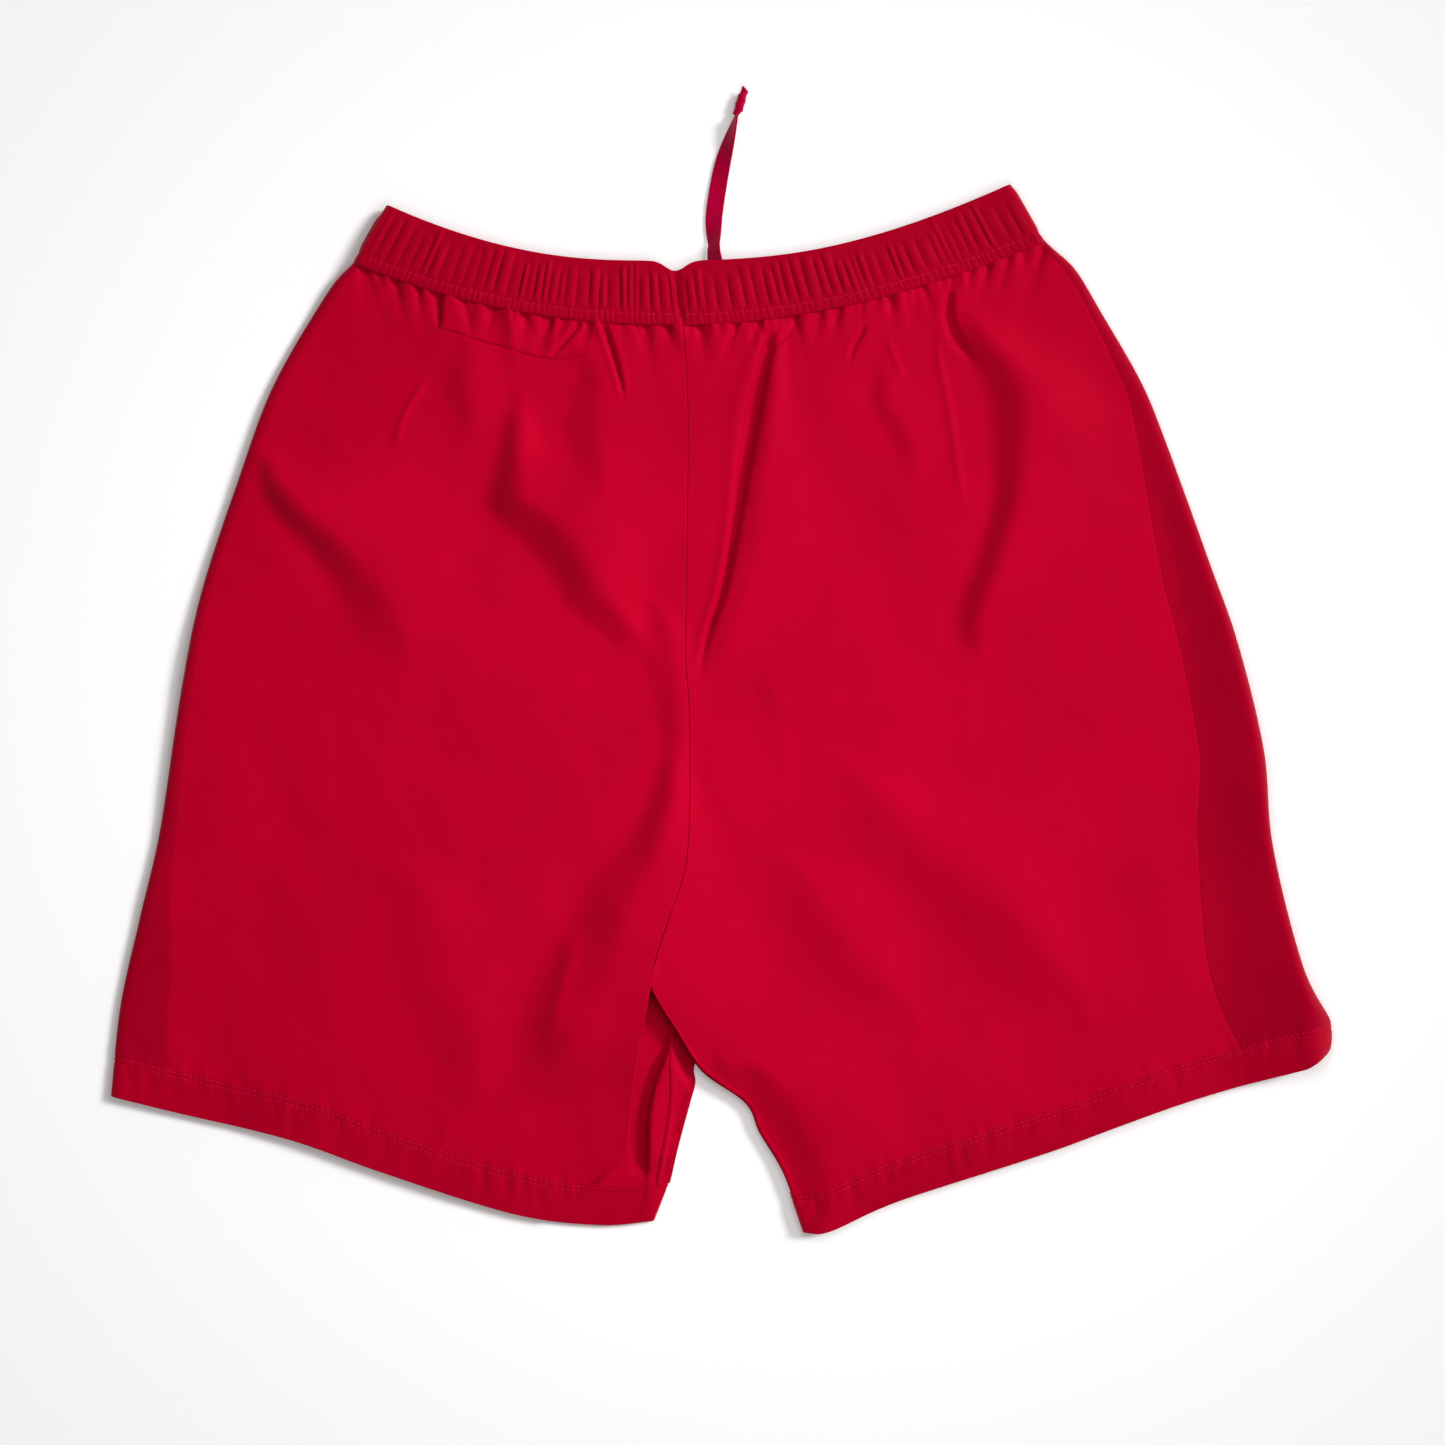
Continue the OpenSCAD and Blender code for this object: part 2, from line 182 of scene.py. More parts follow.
def coons(top, bottom, start, end):
    """A grid between four edges. start and end run from the top edge to the bottom edge."""
    rows, cols = len(start), len(top)
    v = np.linspace(0, 1, rows)[:, None, None]
    u = np.linspace(0, 1, cols)[None, :, None]
    across = (1 - v) * top[None] + v * bottom[None]
    down = (1 - u) * start[:, None] + u * end[:, None]
    corners = (1 - u) * (1 - v) * top[0] + u * (1 - v) * top[-1]
    corners = corners + (1 - u) * v * bottom[0] + u * v * bottom[-1]
    return across + down - corners


def dense_first(count, power=1.6):
    """Shares from 0 to 1 that lie closer together near 0."""
    t = np.linspace(0, 1, count)
    return 0.35 * t + 0.65 * t**power


def lattice_noise(seed):
    """A smooth random field of x and y, from -1 to 1, with a wavelength of about 2 cells."""
    table = np.random.default_rng(seed).uniform(-1, 1, (64, 64))

    def field(x, y, cell):
        gx, gy = x / cell + 1000.5, y / cell + 1000.5
        ix, iy = np.floor(gx).astype(int), np.floor(gy).astype(int)
        fx, fy = smooth(gx - ix), smooth(gy - iy)
        a, b = table[iy % 64, ix % 64], table[iy % 64, (ix + 1) % 64]
        c, d = table[(iy + 1) % 64, ix % 64], table[(iy + 1) % 64, (ix + 1) % 64]
        return (a * (1 - fx) + b * fx) * (1 - fy) + (c * (1 - fx) + d * fx) * fy

    return field


NOISE = [lattice_noise(seed) for seed in (11, 12, 13, 14)]


# ---- The outline ----
TOP_SPAN = (158, 172)
BAND_FLARE = 18
BAND_RISE = (33, 44)
BAND_BEND = (2.2, 1.8)
BAND_SPAN = [span + BAND_FLARE for span in TOP_SPAN]


def band_centre(level):
    """Place across of the crease in the middle of the waistband."""
    return CENTRE_X - 1.5 - 4.0 * level


def band_xy(side, across, level):
    """A point of the waistband's face: across is 0 at the middle and 1 at the end, level is 0 at
    the seam under it and 1 at its top edge."""
    span = TOP_SPAN[side] + BAND_FLARE * (1 - level)
    middle = band_centre(level)
    end_x = CENTRE_X + OUTWARD[side] * span
    x = middle + (end_x - middle) * across
    share = np.abs(x - CENTRE_X) / span
    y = BAND_TOP_CENTRE_Y - BAND_DEPTH * (1 - level) + BAND_RISE[side] * share ** BAND_BEND[side]
    y = y + 3.2 * bump(x - CENTRE_X, 55) * level
    notch = -5.5 * bump(x - middle, 7) * smooth((level - 0.55) / 0.45)
    return np.stack(np.broadcast_arrays(x, y + notch), -1)


# Outer side edges from the waistband to the hem, hem edges from the side to the inside, and the
# inner edges of the legs from the crotch to the hem.
SIDE_EDGE = [
    [(-189, 241), (-195, 235), (-209, 219), (-237, 171), (-256, 120), (-275, 62), (-286, 8),
     (-297, -64), (-308, -112), (-318, -157), (HEM_X[LEFT], -205)],
    [(168, 251), (174, 244), (187, 232), (201, 209), (221, 174), (234, 143), (257, 79), (272, 36),
     (286, -21), (291, -72), (307, -136), (322, -165), (HEM_X[RIGHT], -176), (320, -187)],
]
HEM_EDGE = [
    [(HEM_X[LEFT], -205), (-287, -214), (-228, -228), (-180, -245), (-111, -267), (-66, -273),
     (-36, -271)],
    [(320, -187), (243, -209), (174, -234), (95, -260), (58, -276), (43, -277)],
]

# The centre back seam, down to the crotch
BACK_SEAM = [(-20.5, 204), (-18, 163), (-18, 110), (-19, 31), (-17, -6), (-18, -75), (-27, -108)]
CROTCH = (-35, -133)
RIGHT_INNER = [CROTCH, (-37, -150), (-25, -171), (-11, -192), (12, -209), (19, -224), (32, -246),
               (43, -277)]
# The left leg's back sheet is folded under along this lip, and the layer under it reaches further.
LEFT_LIP = [CROTCH, (-37.5, -150), (-43, -184), (-46.5, -208), (-48, -226), (-50, -237), (-57, -243.5)]
LEFT_INNER = [(-22, -140), (-13.5, -166), (-11.5, -181), (-13.2, -195), (-17, -208), (-23.3, -231),
              (-27.5, -249), (-31, -261), (-36, -271)]


def side_curve(side):
    return spline(SIDE_EDGE[side], 400)


def hem_curve(side):
    return spline(HEM_EDGE[side], 300)


def edge_near_corner(line, distance):
    """The point of a curve at a distance before its end."""
    return resample(line, np.array([1 - distance / length_of(line)]))[0]


def hem_reach(side):
    """Steps from the ends of the hem's lower edge up to the ends of its upper edge."""
    edge = hem_curve(side)
    inner = spline((LEFT_INNER, RIGHT_INNER)[side], 200)
    return (
        edge_near_corner(side_curve(side), HEM_DEPTH) - edge[0],
        edge_near_corner(inner, HEM_DEPTH) - edge[-1],
    )


HEM_REACH = [hem_reach(side) for side in (LEFT, RIGHT)]
HEM_LENGTH = [length_of(hem_curve(side)) for side in (LEFT, RIGHT)]


def hem_points(side, lift, shares):
    """Points along the hem, at a lift above its lower edge. Share 0 is the outside."""
    shares, lift = np.broadcast_arrays(shares, lift)
    at = resample(hem_curve(side), shares.ravel()).reshape(shares.shape + (2,))
    reach = (1 - shares)[..., None] * HEM_REACH[side][0] + shares[..., None] * HEM_REACH[side][1]
    points = at + reach * (lift / HEM_DEPTH)[..., None]
    if side == RIGHT:
        # the outer corner is rounded
        near = smooth(1 - shares * 300 / 14)
        cut = 4.5 * np.clip(1 - lift / 9, 0, 1) ** 2 - 1.5 * np.sin(math.pi * np.clip(lift / 22, 0, 1))
        points = points - np.array([0.98, -0.1]) * (near * cut)[..., None]
    return points


# ---- Folds ----
# A ramp rises to the left of its path's direction over its rise, and falls again over its back.
# A path that runs down the garment rises towards the wearer's right.
def ramp(path, rise, height, back, fade=(0.12, 0.2)):
    return {"kind": "ramp", "path": path, "rise": rise, "height": height, "back": back, "fade": fade}


def slot(path, width, depth, lip=0.0, fade=(0.05, 0.3)):
    return {"kind": "slot", "path": path, "width": width, "depth": depth, "lip": lip, "fade": fade}


def ridge(path, width, height, fade=(0.25, 0.25)):
    return {"kind": "ridge", "path": path, "width": width, "height": height, "fade": fade}


FOLDS = [
    # the long tuck beside the centre seam
    ramp([(26, 196), (18, 164), (11, 126), (7, 100), (0, 63), (-9, 36), (-15, 4)],
         (8, 11, 13, 12, 10), (3.4, 4.2, 3.8, 2.8, 1.4), 60),
    slot([(27, 200), (19, 166), (12, 128), (8, 100), (1, 63), (-8, 36), (-14, 4)],
         (2.2, 3.2, 1.9, 1.4, 1.2), (5.5, 9.0, 6.5, 4.4, 2.0), 1.0, (0.05, 0.3)),
    # the valley and crest on the right
    slot([(121, 222), (120, 208), (124, 196), (131, 186), (137, 178)],
         (1.6, 2.3, 2.4), (3.0, 5.2, 2.0), 0.7, (0.1, 0.5)),
    ramp([(120, 206), (130, 184), (139, 168), (141, 144), (143, 112), (135, 81), (129, 66), (123, 43),
          (128, 24)],
         (10, 18, 24, 18, 12, 13, 14, 11), (2, 8, 10.5, 8.5, 8.5, 8.5, 7, 3), 80, (0.1, 0.12)),
    # the broad valley on the left, with its crest above and to the right of it
    ramp([(-112, 168), (-118, 138), (-125, 110), (-120, 99), (-106, 86), (-92, 70), (-79, 51),
          (-65, 39), (-46, 20)],
         (8, 12, 19, 25, 23, 19, 13), (2, 6, 9.4, 10, 9, 6.8, 3), 75, (0.1, 0.15)),
    ramp([(-80, 176), (-83, 150), (-78, 118)], (20, 18), (4.2, 4.0), 40, (0.25, 0.35)),
    ramp([(-140, 190), (-146, 170), (-143, 150)], (12, 14), (2.4, 2.4), 25, (0.25, 0.35)),
    # the dent by the left edge
    ramp([(-248, 128), (-241, 110), (-229, 94), (-215, 78), (-201, 54), (-190, 22)],
         (10, 13, 17, 26, 30), (3.5, 8, 7.8, 4.2, 1.2), 75, (0.12, 0.25)),
    # sharp short pleats under the waistband
    slot([(-62, 203), (-57, 187), (-53, 172), (-51, 157)], (1.2, 1.1, 0.5), (3.4, 3.8, 1.4), 1.0,
         (0.05, 0.45)),
    slot([(-151, 222), (-149, 210), (-150, 198)], (1.7, 1.5), (2.0, 1.8), 0.5, (0.15, 0.4)),
    slot([(-74, 204), (-84, 192), (-92, 184)], (1.3, 1.0), (1.8, 1.6), 0.5, (0.1, 0.3)),
    slot([(-146, 199.5), (-123, 192.5), (-94, 184.5), (-72, 185)], (0.5, 0.5), (0.7, 0.8), 0.2,
         (0.03, 0.1)),
    slot([(76, 202), (70, 191), (66, 180)], (1.4, 1.0), (2.2, 1.4), 0.5, (0.1, 0.4)),
    slot([(38, 200), (30, 193), (24, 186)], (1.0, 0.9), (1.4, 1.2), 0.5, (0.1, 0.4)),
    # thin bright creases
    ridge([(-154, 177), (-163, 163), (-169, 151), (-173, 134)], 1.2, 1.2),
    ridge([(87, 197), (92, 183), (96, 172)], 1.2, 1.1),
    ridge([(113, 206), (115, 183), (120, 159), (123, 139), (126, 119), (132, 97)], 1.6, 1.1),
    ramp([(81, 178), (79, 160), (90, 141), (97, 120)], (9, 10), (3.0, 3.4), 30, (0.2, 0.35)),
    # soft shapes lower down
    ramp([(-45, 48), (-39, 14), (-28, -30)], (20, 16, 8), (3.4, 3.4, 1.6), 26, (0.2, 0.3)),
    ramp([(-188, -104), (-174, -148), (-157, -198)], (32, 36), (2.4, 2.6), 55, (0.3, 0.2)),
    ridge([(32, 1), (88, 3), (142, 9)], 4, 0.7),
    ridge([(-60, 20), (-120, 6), (-190, -6)], 6, 0.7),
    # the slope down from the lip beside the crotch
    ramp([(-30, -14), (-38, -45), (-52, -70), (-72, -92), (-86, -118), (-105, -150), (-128, -172)],
         (8, 14, 24, 34, 40, 40), (3, 7, 9.5, 10, 9, 6), 90, (0.12, 0.2)),
    ridge([(-74, -112), (-80, -132), (-87, -160), (-94, -184)], 7, 2.6, (0.3, 0.4)),
    # soft diagonals of the right leg
    ramp([(44, -46), (84, -92), (126, -130), (166, -176)], (32, 40), (4.6, 5.0), 60, (0.25, 0.3)),
    ramp([(20, -92), (30, -110), (56, -148), (84, -176)], (24, 28), (3.8, 4.2), 45, (0.3, 0.35)),
    ramp([(18, 18), (21, 0), (25, -24)], (7, 8), (1.1, 1.0), 25, (0.25, 0.35)),
    # the corner of the right leg by the crotch
    ramp([(10, -204), (28, -230), (42, -262)], (22, 20), (5.0, 4.4), 60, (0.2, 0.15)),
    # the strip along the right side seam lies lower than the rim outside it
    ramp([(222, 150), (241, 60), (254, -36), (263, -120), (274, -215)], (16, 30, 36, 48, 50),
         (3, 7.5, 8.5, 8.5, 7.5), 60, (0.2, 0.02)),
    ramp([(196, 196), (214, 158), (228, 112), (240, 60)], (20, 22), (2.0, 2.4), 50, (0.3, 0.3)),
]


def near_box(x, y, path, margin):
    """Whether each point is within a margin of a path's box."""
    low, high = np.min(path, axis=0) - margin, np.max(path, axis=0) + margin
    return (x > low[0]) & (x < high[0]) & (y > low[1]) & (y < high[1])


def ramp_height(x, y, fold):
    d = near_path(x, y, fold["path"])[0]
    reach, share = soft_near_path(x, y, fold["path"])
    first, last = fold["fade"]
    ends = smooth(share / first) * smooth((1 - share) / last)
    rise = spread(fold["rise"], share)
    t = np.clip(d / rise, 0, 1)
    up = 0.45 * t + 0.55 * smooth(t)
    leaf = 0.08 + 0.92 * np.sin(math.pi * np.clip(share, 0, 1)) ** 2
    down = 1 - smooth((reach - rise) / (fold["back"] * leaf))
    foot = -0.12 * bump(d, 0.6 * rise)
    return spread(fold["height"], share) * (up * down + foot) * ends


def crease_height(x, y, fold):
    d, share = near_path(x, y, fold["path"])
    first, last = fold["fade"]
    ends = smooth(share / first) * smooth((1 - share) / last)
    width = spread(fold["width"], share)
    if fold["kind"] == "ridge":
        sharp = np.exp(0.3 - np.sqrt((d / width) ** 2 + 0.09))
        return spread(fold["height"], share) * sharp * ends
    dip = -spread(fold["depth"], share) * np.exp(-np.abs(d / width) ** 2.6)
    lips = bump(d + 2.6 * width, 1.6 * width) + 0.5 * bump(d - 2.6 * width, 2 * width)
    return (dip + fold["lip"] * lips) * ends


def add_near(total, x, y, path, margin, height):
    """Adds a height function to the points near a path."""
    near = near_box(x, y, path, margin)
    if near.any():
        total[near] += height(x[near], y[near])


def seam_y(x):
    """Height along the garment of the seam under the waistband."""
    span, rise, power = (np.where(x < CENTRE_X, *pair) for pair in (BAND_SPAN, BAND_RISE, BAND_BEND))
    share = np.abs(x - CENTRE_X) / span
    return BAND_TOP_CENTRE_Y - BAND_DEPTH + rise * share**power


STRONG_GATHERS = (-172, -160, -147, -136, -120, -104, -90, -70, -40, -28, -11, 8, 20, 39, 53, 62, 89,
                  106, 141, 152, 171)


def make_gathers():
    """Small random tucks that the waistband's elastic draws into the cloth under it."""
    rng = np.random.default_rng(21)
    rows = []
    for x in np.arange(CENTRE_X - 172, CENTRE_X + 186, 4.6):
        rows.append((
            x + rng.uniform(-1.8, 1.8),
            rng.uniform(-0.35, 0.35),
            rng.uniform(3.5, 11) * (1.9 if rng.random() < 0.2 else 1),
            rng.uniform(1.0, 2.2),
            rng.uniform(0.5, 1.6) * (-1 if rng.random() < 0.6 else 1),
        ))
    for x in STRONG_GATHERS:
        reach = rng.uniform(9, 17)
        rows.append((x, rng.uniform(-0.45, 0.45), reach, rng.uniform(1.3, 2.2), rng.uniform(-2.6, -1.6)))
        rows.append((x + rng.uniform(3, 6), rng.uniform(-0.3, 0.3), reach, 3.2, rng.uniform(0.5, 1.2)))
    return rows


GATHERS = make_gathers()


def gather_height(x, y):
    """Lift of the cloth from the gathers under the waistband."""
    below = np.maximum(seam_y(x) - y, 0)
    near = below < 60
    lift = np.zeros(x.shape)
    xs, ds = x[near], below[near]
    total = np.zeros(xs.shape)
    for at, slant, reach, width, amount in GATHERS:
        fan = 1 + ds / 18
        total += amount * bump(xs - at - slant * ds, width * fan) * np.exp(-((ds / reach) ** 1.4))
    lift[near] = total
    return lift


# Heights of the two layers
BACK_BASE = 6.6
BAND_SEAM_Z = 9.3
FRONT_BASE = 0.8


class Raster:
    """A field of heights, worked out once on a fine square raster and then looked up."""

    STEP = 1.6

    def __init__(self, field, blur):
        self.low = np.array([HEM_X[LEFT] - 20, -300.0])
        counts = (np.array([HEM_X[RIGHT] + 20, 300.0]) - self.low) / self.STEP
        self.cols, self.rows = counts.astype(int)
        x = self.low[0] + self.STEP * np.arange(self.cols)
        y = self.low[1] + self.STEP * np.arange(self.rows)
        self.z = self.blurred(field(*np.meshgrid(x, y)), blur / self.STEP)

    @staticmethod
    def blurred(z, sigma):
        reach = int(3 * sigma) + 1
        kernel = np.exp(-((np.arange(-reach, reach + 1) / sigma) ** 2) / 2)
        kernel /= kernel.sum()
        for axis in (0, 1):
            width = [(reach, reach) if k == axis else (0, 0) for k in (0, 1)]
            padded = np.pad(z, width, mode="edge")
            size = z.shape[axis]
            z = sum(k * np.take(padded, range(i, i + size), axis) for i, k in enumerate(kernel))
        return z

    def __call__(self, x, y):
        gx = np.clip((x - self.low[0]) / self.STEP, 0, self.cols - 1.001)
        gy = np.clip((y - self.low[1]) / self.STEP, 0, self.rows - 1.001)
        ix, iy = gx.astype(int), gy.astype(int)
        fx, fy = gx - ix, gy - iy
        lower = self.z[iy, ix] * (1 - fx) + self.z[iy, ix + 1] * fx
        upper = self.z[iy + 1, ix] * (1 - fx) + self.z[iy + 1, ix + 1] * fx
        return lower * (1 - fy) + upper * fy


def broad_height(x, y):
    """The back layer's slow shape: its level, its waves and its broad folds."""
    below = np.maximum(seam_y(x) - y, 0)
    z = BACK_BASE + (BAND_SEAM_Z - BACK_BASE) * np.exp(-below / 28)
    settle = smooth(below / 40)
    z += settle * (1.6 * NOISE[0](x, y, 62) + 0.7 * NOISE[1](x + 0.3 * y, 0.6 * y, 24))
    for fold in FOLDS:
        if fold["kind"] == "ramp":
            margin = fold["back"] + np.max(fold["rise"])
            add_near(z, x, y, fold["path"], margin, lambda x, y, f=fold: ramp_height(x, y, f))
    # the right leg lies over the left one by the crotch
    z += 3.6 * bump(np.hypot(x + 14, y + 176), 34)
    return z


BROAD = Raster(broad_height, 2.6)
HEM_PATHS = [HEM_EDGE[side] for side in (LEFT, RIGHT)]


def hem_pucker(x, y, side):
    """Small puckers that the hem's stitching draws into the cloth round it."""
    d, share = near_path(x, y, HEM_PATHS[side], 60)
    lift = np.abs(d)
    along = share * HEM_LENGTH[side] + 900 * side
    amount = np.exp(-((lift - 19) / 9) ** 2) + 0.28 * smooth((19 - lift) / 8)
    slant = along + 0.25 * lift
    return amount * (0.5 * NOISE[2](slant, 0.22 * lift, 4.6) + 0.22 * NOISE[1](slant, 0.4 * lift, 2.2))


def back_height(x, y):
    """Height of the back layer's outer face."""
    z = BROAD(x, y)
    settle = smooth((seam_y(x) - y) / 40)
    z += settle * 0.16 * NOISE[2](x, y, 9)
    for fold in FOLDS:
        if fold["kind"] != "ramp":
            margin = 6 * np.max(fold["width"])
            add_near(z, x, y, fold["path"], margin, lambda x, y, f=fold: crease_height(x, y, f))
    z += gather_height(x, y)
    for side in (LEFT, RIGHT):
        add_near(z, x, y, HEM_PATHS[side], 40, lambda x, y, s=side: hem_pucker(x, y, s))
    # the lip beside the crotch stands up a little
    d, share = near_path(x, y, BACK_SEAM + LEFT_LIP)
    lip = smooth((share - 0.55) / 0.2)
    z += lip * np.where(d < 0, 1.6 * np.exp(-np.abs(d) / 9), 0)
    return 16.6 - soft_floor(12.7 - soft_floor(z - 3.9))


def soft_floor(z):
    """Keeps a height above 0 without a kink."""
    return 0.5 * (z + np.sqrt(z * z + 1.0))


def left_front_height(x, y):
    """Height of the front layer, which lies on the surface under the shorts."""
    return FRONT_BASE + 0.28 * NOISE[3](x, y, 45) + 0.08 * NOISE[2](x, y, 12)


def front_height(x, y):
    """The same, lifted by the crotch, where the right leg lies over the left one."""
    over = bump(np.hypot(x + 14, (y + 170) * 0.8), 30) * smooth((x + 45) / 20)
    return left_front_height(x, y) + 4.8 * over * (y < -100)


FRONT_HEIGHT = (left_front_height, front_height)

# The left leg's inner fold: cloth that lies between the two layers and shows inside the crotch
GAP = [(-27, -173), (-33, -186), (-38, -199), (-41.5, -213), (-42.5, -226), (-43, -242), (-43, -262)]
GAP_HALF = (0.6, 2.0, 2.8, 3.6, 4.4, 4.6, 2.5)


def strip_height(x, y):
    """Height of the inner fold."""
    d, share = near_path(x, y, GAP)
    half = spread(GAP_HALF, share)
    past_edge = -0.832 * (x + 25) - 0.555 * (y + 171)
    rise = 5.6 * smooth((past_edge - 1) / 11) * smooth((d - 0.5 * half) / 2.4)
    at_hem = smooth((-234 - y) / 16)
    z = 2.4 + at_hem + 0.25 * NOISE[3](x, y, 30) + rise * (1 - 0.9 * at_hem)
    z -= 0.3 * np.clip(d - 6, 0, 12)
    z -= 2.2 * np.exp(-np.abs(d / half) ** 4) * (1 - at_hem)
    z -= 1.2 * smooth((-180 - y) / 22) * smooth((half - d) / 2) * (1 - at_hem)
    return 1.3 + soft_floor(z - 1.3)


# ---- Meshes ----
def quads(rows, cols, offset=0, loop_rows=False, loop_cols=False):
    """Faces of a grid of points."""
    r = np.arange(rows if loop_rows else rows - 1)
    c = np.arange(cols if loop_cols else cols - 1)
    r, c = np.meshgrid(r, c, indexing="ij")
    r2, c2 = (r + 1) % rows, (c + 1) % cols
    faces = np.stack([r * cols + c, r * cols + c2, r2 * cols + c2, r2 * cols + c], -1)
    return faces.reshape(-1, 4) + offset


def finished(name, mesh, material, sharp):
    """Shades a mesh, gives it its material and puts it into the scene."""
    mesh.validate()
    mesh.shade_smooth()
    mesh.set_sharp_from_angle(angle=math.radians(sharp))
    mesh.materials.append(material)
    obj = bpy.data.objects.new(name, mesh)
    bpy.context.scene.collection.objects.link(obj)
    return obj


def make_object(name, points, faces, material):
    """A mesh object from points in millimetres and faces with equally many corners."""
    mesh = bpy.data.meshes.new(name)
    faces = np.asarray(faces)
    mesh.vertices.add(len(points))
    mesh.vertices.foreach_set("co", (np.asarray(points, float) * MM).astype(np.float32).ravel())
    mesh.loops.add(faces.size)
    mesh.loops.foreach_set("vertex_index", faces.astype(np.int32).ravel())
    mesh.polygons.add(len(faces))
    mesh.polygons.foreach_set("loop_start", np.arange(0, faces.size, faces.shape[1], dtype=np.int32))
    mesh.update(calc_edges=True)
    return finished(name, mesh, material, 60)


def fix_normals(obj):
    """Turns all faces outwards."""
    b = bmesh.new()
    b.from_mesh(obj.data)
    bmesh.ops.recalc_face_normals(b, faces=b.faces)
    b.to_mesh(obj.data)
    b.free()


def tube(name, rings, material, hubs=None, sharp=75):
    """A closed tube through rings of points. Its ends are flat, round the hubs."""
    rows, cols = rings.shape[:2]
    hubs = rings[[0, -1]].mean(1) if hubs is None else hubs
    faces = [tuple(f) for f in quads(rows, cols, loop_cols=True).tolist()]
    for end, row in ((0, 0), (1, rows - 1)):
        ids = (row * cols + np.arange(cols)).tolist()
        faces += [(a, b, rows * cols + end) for a, b in zip(ids, ids[1:] + ids[:1])]
    mesh = bpy.data.meshes.new(name)
    mesh.from_pydata((np.vstack([rings.reshape(-1, 3), hubs]) * MM).tolist(), [], faces)
    obj = finished(name, mesh, material, sharp)
    fix_normals(obj)
    return obj


def grid_normals(points):
    return unit(np.cross(np.gradient(points, axis=0), np.gradient(points, axis=1)))


def cloth(name, points, material, thickness=CLOTH_T, face=1):
    """A closed sheet of cloth: a grid, the same grid moved inwards along its normals, and a rim.
    face is 1 where the grid's own normals point outwards."""
    rows, cols = points.shape[:2]
    count = rows * cols
    inner = points - grid_normals(points) * thickness * face
    ring = np.concatenate([
        np.arange(cols),
        np.arange(1, rows) * cols + cols - 1,
        (rows - 1) * cols + np.arange(cols - 2, -1, -1),
        np.arange(rows - 2, 0, -1) * cols,
    ])
    after = np.roll(ring, -1)
    rim = np.stack([ring, after, after + count, ring + count], 1)
    faces = np.vstack([quads(rows, cols)[:, ::-1], quads(rows, cols, count), rim])
    if face < 0:
        faces = faces[:, ::-1]
    both = np.vstack([points.reshape(-1, 3), inner.reshape(-1, 3)])
    return make_object(name, both, faces, material)


def lifted(xy, height):
    """A grid in space from a plane grid and a height function."""
    return raised(xy, height(xy[..., 0], xy[..., 1]))


def turned_under(grid, radius, drop, tuck=3.0, steps=7):
    """Columns that carry the first column of a grid outwards, down and back under it."""
    first = grid[:, 0]
    out = unit((first - grid[:, 1])[:, :2])
    radius, drop, tuck = (np.broadcast_to(v, len(grid)) for v in (radius, drop, tuck))
    columns = []
    for angle in np.linspace(0, math.pi, steps + 1)[1:]:
        xy = first[:, :2] + out * radius[:, None] * math.sin(angle)
        columns.append(raised(xy, first[:, 2] - drop * (1 - math.cos(angle)) / 2))
    for back in (0.5, 1.0):
        columns.append(raised(first[:, :2] - out * tuck[:, None] * back, first[:, 2] - drop))
    return np.stack(columns[::-1], 1)


def with_turns(grid, start=None, end=None):
    """A grid with its first and last columns turned under."""
    parts = [grid]
    if start:
        parts.insert(0, turned_under(grid, **start))
    if end:
        parts.append(turned_under(grid[:, ::-1], **end)[:, ::-1])
    return np.concatenate(parts, 1)


def inset_line(line, distance, towards):
    """A curve moved sideways, to the left of its direction where towards is 1."""
    return line + normals_2d(line) * np.broadcast_to(distance, len(line))[:, None] * towards


# ---- Materials ----
class Nodes:
    """A short way to write a node tree."""

    def __init__(self, name):
        self.material = bpy.data.materials.new(name)
        self.material.use_nodes = True
        self.tree = self.material.node_tree
        self.shader = self.tree.nodes["Principled BSDF"]

    def add(self, kind, inputs, **settings):
        """A node with its sockets set to values, or linked where a socket is given."""
        node = self.tree.nodes.new(kind)
        for key, value in settings.items():
            setattr(node, key, value)
        self.fill(node, inputs)
        return node

    def fill(self, node, inputs):
        for key, value in inputs.items():
            if isinstance(value, bpy.types.NodeSocket):
                self.tree.links.new(value, node.inputs[key])
            else:
                node.inputs[key].default_value = value

    def math(self, operation, a, b):
        return self.add("ShaderNodeMath", {0: a, 1: b}, operation=operation).outputs[0]


RED_TINT = (1.0, 0.03, 0.12, 1)
PALE_TINT = (1.0, 0.98, 0.95, 1)


